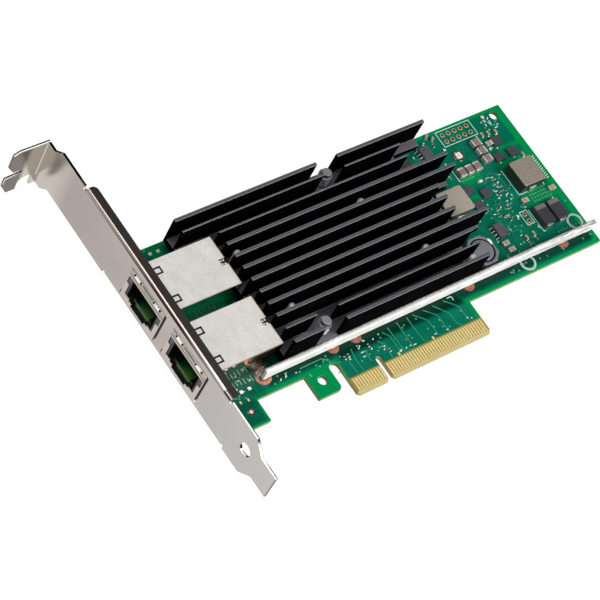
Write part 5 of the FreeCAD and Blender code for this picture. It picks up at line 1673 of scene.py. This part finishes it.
@dataclass
class PowerParts(Assembly):
    """The inductors, capacitors and chips at the card's far end.

    The varnish is turned from radius and height, and a lead is bent along reach and height.
    """

    drum: Point = (52.0, 23.4)
    varnish: tuple[Point, ...] = ((3.7, 3.6), (4.3, 3.6), (4.3, 4.05), (3.7, 4.05))
    dab: tuple[Point, ...] = (
        (56.1, 23.9), (56.9, 24.3), (56.85, 25.4), (56.3, 26.3), (55.7, 25.8), (55.9, 24.8))
    dab_z: Point = (4.15, 4.215)
    tanks_x: tuple[float, float] = (82.4, 87.9)
    stripe_half: float = 2.05
    chips: tuple[Point, ...] = ((59.2, 61.2), (64.8, 28.1))
    pin_ones: tuple[Point, ...] = ((60.4, 59.4), (66.0, 26.3))
    leads_a_side: int = 4
    lead_pitch: float = 1.27
    clock_pad: Place = (0.72, 2.1, 0.3)
    clock_reach: float = 1.62
    lead_bends: tuple[Point, ...] = (
        (1.7, 0.68), (2.0, 0.68), (2.12, 0.62), (2.25, 0.24), (2.36, 0.12), (2.85, 0.11))

    def build(self) -> None:
        """Make the power parts' pieces."""
        # Both cores' finishes paint shade down their sides.
        self.cover("output_inductor", Surface.IRON_POWDER, "ferrite_grey", 0.22, 3)
        self.cover("covered_inductor", Surface.PALE_POWDER, "ferrite_beige", 0.22, 3)
        for node in ("output_inductor_terminals", "covered_inductor_terminals"):
            self.cover(node, Surface.TIN, "tin_plate", 0.1, 2)
        self.cover("drum_inductor_shield", Surface.FERRITE, "ferrite_grey", 0.2, 2)
        self.cover("drum_inductor_core", Surface.FERRITE, "ferrite_grey", 0.15, 2)
        self.drum_gap()
        for node, surface, slot, width_mm in (
            ("bulk_capacitor_bodies", Surface.CERAMIC, "capacitor_ceramic", 0.1),
            ("bulk_capacitor_end_caps", Surface.TIN, "tin_plate", 0.14),
            ("small_capacitor_bodies", Surface.TAN_CERAMIC, "capacitor_ceramic", 0.08),
            ("small_capacitor_end_caps", Surface.TIN, "tin_plate", 0.1),
            ("regulator_chips", Surface.SLATE_EPOXY, "black_epoxy", 0.06),
            ("memory_chip_bodies", Surface.EPOXY, "black_epoxy", 0.12),
        ):
            self.cover(node, surface, slot, width_mm, 2)
        self.grow(Ribbon("memory_chip_leads_look", Surface.TIN, self.leads(), 0.4, 0.18),
                  "tin_plate", ("memory_chip_leads",))
        self.cover("tank_capacitor_bodies", Surface.BLACK_CASE, "black_epoxy", 0.1, 2)
        self.cover("tank_capacitor_tabs", Surface.TIN, "tin_plate", 0.06, 1)
        self.stripes()
        self.clock()
        self.cover("crystal_can", Surface.NICKEL, "nickel", 0.3, 3)
        self.dimples()

    def drum_gap(self) -> None:
        """Fill the gap between the drum and its shield with varnish, and dab the shield with paint."""
        gap, dab = bmesh.new(), bmesh.new()
        add_lathe(gap, self.drum, self.varnish, 48)
        add_prism(dab, self.dab, *self.dab_z)
        self.model("drum_varnish", gap, Surface.VARNISH, "ferrite_grey")
        self.model("drum_paint_dab", dab, Surface.WHITE_CERAMIC, "ferrite_grey")

    def leads(self) -> list[list[Place]]:
        """Return the bends of the memory chips' gull-wing leads, made of flat strip.

        Returns:
            One path for each lead.
        """
        middle = (self.leads_a_side - 1) / 2
        rows = [(row - middle) * self.lead_pitch for row in range(self.leads_a_side)]
        return [[(x + side * reach, y + row, height) for reach, height in self.lead_bends]
                for x, y in self.chips for row in rows for side in (-1, 1)]

    def stripes(self) -> None:
        """Print the polarity stripe at one end of each tank capacitor."""
        form = bmesh.new()
        for x in self.tanks_x:
            add_box(form, (x - self.stripe_half, 28.7, 2.19), (x + self.stripe_half, 30.2, 2.212))
        self.model("tank_stripes", form, Surface.STRIPE, "black_epoxy")

    def clock(self) -> None:
        """Make the clock's ceramic case, its castellations and its dot."""
        low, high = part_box("clock_oscillator")
        x, y, top = (low[0] + high[0]) / 2 / MM, (low[1] + high[1]) / 2 / MM, high[2] / MM
        self.cover("clock_oscillator", Surface.WHITE_CERAMIC, "white_ceramic", 0.1, 2)
        turns = (0, 90, 180, 270)
        places = [(x + self.clock_reach * math.cos(math.radians(turn)),
                   y + self.clock_reach * math.sin(math.radians(turn))) for turn in turns]
        self.grow(Scatter("clock_pads", Surface.SOLDER, unit_box("clock_pad_form"), raised(places),
                          turns, [self.clock_pad] * len(turns)), "white_ceramic")
        form = bmesh.new()
        add_lathe(form, (x, y), ((0.28, top - 0.01), (0.28, top + 0.015), (0.22, top + 0.03)), 16)
        self.model("clock_dot", form, Surface.RED_LACQUER, "white_ceramic")

    def dimples(self) -> None:
        """Mould the pin-one dimple into each memory chip."""
        form = bmesh.new()
        for place in self.pin_ones:
            add_lathe(form, place, ((0.3, 1.498), (0.28, 1.504), (0.1, 1.506)), 16)
        self.model("pin_one_dimples", form, Surface.BLACK_CASE, "black_epoxy")


@dataclass
class SmallParts(Assembly):
    """The chip resistors and capacitors, too small for the CAD, and their solder."""

    # X, Y and turn of each.
    capacitors: tuple[Place, ...] = (
        (65.1, 65.1, 40), (63.8, 66.7, 40), (87.7, 59.3, 90), (84.8, 59.7, 90), (82.4, 60.0, 90),
        (70.9, 31.7, 0), (72.1, 22.6, 90), (75.3, 22.9, 90), (53.9, 57.8, 0), (91.2, 48.6, 90))
    resistors: tuple[Place, ...] = (
        (75.2, 43.1, 0), (76.0, 41.7, 0), (75.5, 40.2, 0), (74.2, 39.4, 90), (75.4, 44.7, 0),
        (76.7, 39.1, 90), (73.7, 46.1, 0), (71.3, 35.9, 90), (74.1, 35.8, 90), (73.7, 33.9, 0),
        (69.8, 34.9, 0), (71.6, 30.4, 90), (68.7, 32.6, 0), (75.2, 21.0, 90), (72.1, 20.6, 90),
        (64.2, 63.1, 90), (-3.7, 13.3, 90), (-8.1, 12.2, 90), (-9.6, 11.9, 90), (-0.2, 12.4, 90),
        (3.6, 9.8, 90), (5.2, 8.4, 90))

    def build(self) -> None:
        """Make the chip parts: bodies, end caps and the lands under them."""
        self.chips("chip_capacitors", Surface.TAN_CERAMIC, self.capacitors, 1.6, 0.8, 0.75)
        self.chips("chip_resistors", Surface.RESISTOR, self.resistors, 1.05, 0.55, 0.35)
        self.chips("white_chips", Surface.WHITE_CERAMIC, ((70.7, 45.9, 0),), 1.6, 0.85, 0.5)

    def chips(
        self, name: str, surface: Surface, places: Sequence[Place], length: float, width: float,
        height: float,
    ) -> None:
        """Stand one kind of chip part on the board, with its end caps and lands.

        Args:
            name: The name of the bodies' piece.
            surface: The bodies' finish.
            places: X, Y and turn of each.
            length: Length over the end caps.
            width: Width.
            height: Height.
        """
        cap = length * 0.24
        ends = [(x, y, turn, side) for x, y, turn in places for side in (-0.5, 0.5)]
        for label, look, form, spots, out, lift, size, slot in (
            ("", surface, unit_box(name + "_form", 0.05), [(*place, 0) for place in places], 0.0,
             0.02, (length * 0.56, width * 0.96, height), "capacitor_ceramic"),
            ("_ends", Surface.TIN, unit_box(name + "_end_form", 0.1), ends, length - cap, 0.02,
             (cap, width, height * 1.04), "tin_plate"),
            ("_lands", Surface.SOLDER, unit_box(name + "_land_form", 0.2), ends, length, 0.0,
             (length * 0.34, width * 1.05, 0.12), "tin_plate"),
        ):
            stood = [(x + side * out * math.cos(math.radians(turn)),
                      y + side * out * math.sin(math.radians(turn))) for x, y, turn, side in spots]
            self.grow(Scatter(name + label, look, form, raised(stood, lift),
                              [turn for _, _, turn, _ in spots], [size] * len(spots)), slot)


# ------------------------------------------------------------------------------------------------
# Studio
# ------------------------------------------------------------------------------------------------
@dataclass
class Studio:
    """The floor, the lamps, the sky and the camera, in metres and degrees."""

    camera_at: Place = (-0.40169, -0.17628, 0.56706)
    camera_turn: Place = (33.60096, -19.02943, -35.58897)
    lens: float = 148.03
    floor_z: float = -0.0083
    floor_half: float = 3.0
    cove: Point = (0.12, 0.32)
    cove_glow: float = 0.75
    sky_glow: float = 0.07
    aim: Place = (0.02, 0.035, 0.0)
    paint: float = 0.16
    bounce: float = 0.75
    glow: float = 0.93

    def build(self) -> None:
        """Set up the studio."""
        scene = bpy.context.scene
        scene.view_settings.view_transform = "Standard"
        self.camera(scene)
        self.floor()
        self.sky(scene)
        self.lamps()

    def camera(self, scene: bpy.types.Scene) -> None:
        """Stand the camera up.

        Args:
            scene: The scene.
        """
        data = bpy.data.cameras.new("camera")
        data.lens = self.lens
        data.sensor_width = 36.0
        data.clip_start = 0.01
        data.clip_end = 20.0
        holder = object_from("camera", data)
        holder.location = self.camera_at
        holder.rotation_euler = Euler([math.radians(a) for a in self.camera_turn])
        scene.camera = holder

    def floor(self) -> None:
        """Lay the white floor, which glows for camera, gloss and glass but keeps its shadow."""
        half = self.floor_half
        mesh = bpy.data.meshes.new("floor")
        mesh.from_pydata([(x, y, self.floor_z) for x, y in (
            (-half, -half), (half, -half), (half, half), (-half, half))], [], [(0, 1, 2, 3)])
        made = bpy.data.materials.new("white_table")
        made.use_nodes = True
        made.node_tree.nodes.clear()
        w = Wiring(made.node_tree)
        ray = w.add("LightPath").node.outputs
        seen = w.add("Math", ray["Is Camera Ray"], ray["Is Glossy Ray"], **LARGER)
        seen = w.add("Math", seen, ray["Is Transmission Ray"], **LARGER)
        paint, wide = (w.add("BsdfDiffuse", (grey, grey, grey, 1.0))
                       for grey in (self.paint, self.bounce))
        both = w.add("AddShader", paint, w.add("Emission", at={"Strength": self.glow}))
        w.add("OutputMaterial", w.add("MixShader", seen, wide, both))
        mesh.materials.append(made)
        object_from("floor", mesh)

    def sky(self, scene: bpy.types.Scene) -> None:
        """Make a pale cove in front of the card above the floor, under a dim ceiling.

        Args:
            scene: The scene.
        """
        scene.world = bpy.data.worlds.new("studio")
        scene.world.use_nodes = True
        scene.world.node_tree.nodes.clear()
        w = Wiring(scene.world.node_tree)
        way = w.add("SeparateXYZ", w.add("TexCoord", out="Generated")).node.outputs
        front = w.add("MapRange", way["Y"], -0.5, -0.1, self.cove_glow, self.sky_glow)
        ramp = w.add("MapRange", way["Z"], *self.cove, front, self.sky_glow)
        sky = w.add("Background", (1.0, 1.0, 1.0, 1.0), ramp)
        white = w.add("Background", at={"Strength": 1.0})
        seen = w.add("LightPath", out="Is Camera Ray")
        w.add("OutputWorld", w.add("MixShader", seen, sky, white))

    def lamps(self) -> None:
        """Hang the soft lamps, which face the card, with their size in metres and power in watts."""
        for name, place, size, power in (
            ("key_softbox", (0.50, -0.52, 0.76), (0.62, 0.62), 10.5),
            ("front_softbox", (0.05, -0.95, 0.24), (0.6, 0.3), 5.5),
            ("top_softbox", (-0.30, 0.25, 1.0), (0.6, 0.6), 4.0),
            ("bracket_strip", (-0.80, 0.30, 0.56), (0.2, 0.9), 1.8),
        ):
            data = bpy.data.lights.new(name, "AREA")
            data.shape = "RECTANGLE"
            data.size, data.size_y = size
            data.energy = power
            holder = object_from(name, data)
            holder.location = place
            aim = Vector(self.aim) - Vector(place)
            holder.rotation_euler = aim.to_track_quat("-Z", "Y").to_euler()


def main() -> None:
    """Build the card's look, piece by piece."""
    logging.basicConfig(level=logging.INFO, format="%(message)s")
    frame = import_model()
    for kind in (Board, Bracket, Jacks, Heatsink, Stiffener, PowerParts, SmallParts):
        kind(frame).build()
        LOG.info("%s built", kind.__name__)
    Studio().build()


if __name__ == "__main__":
    main()
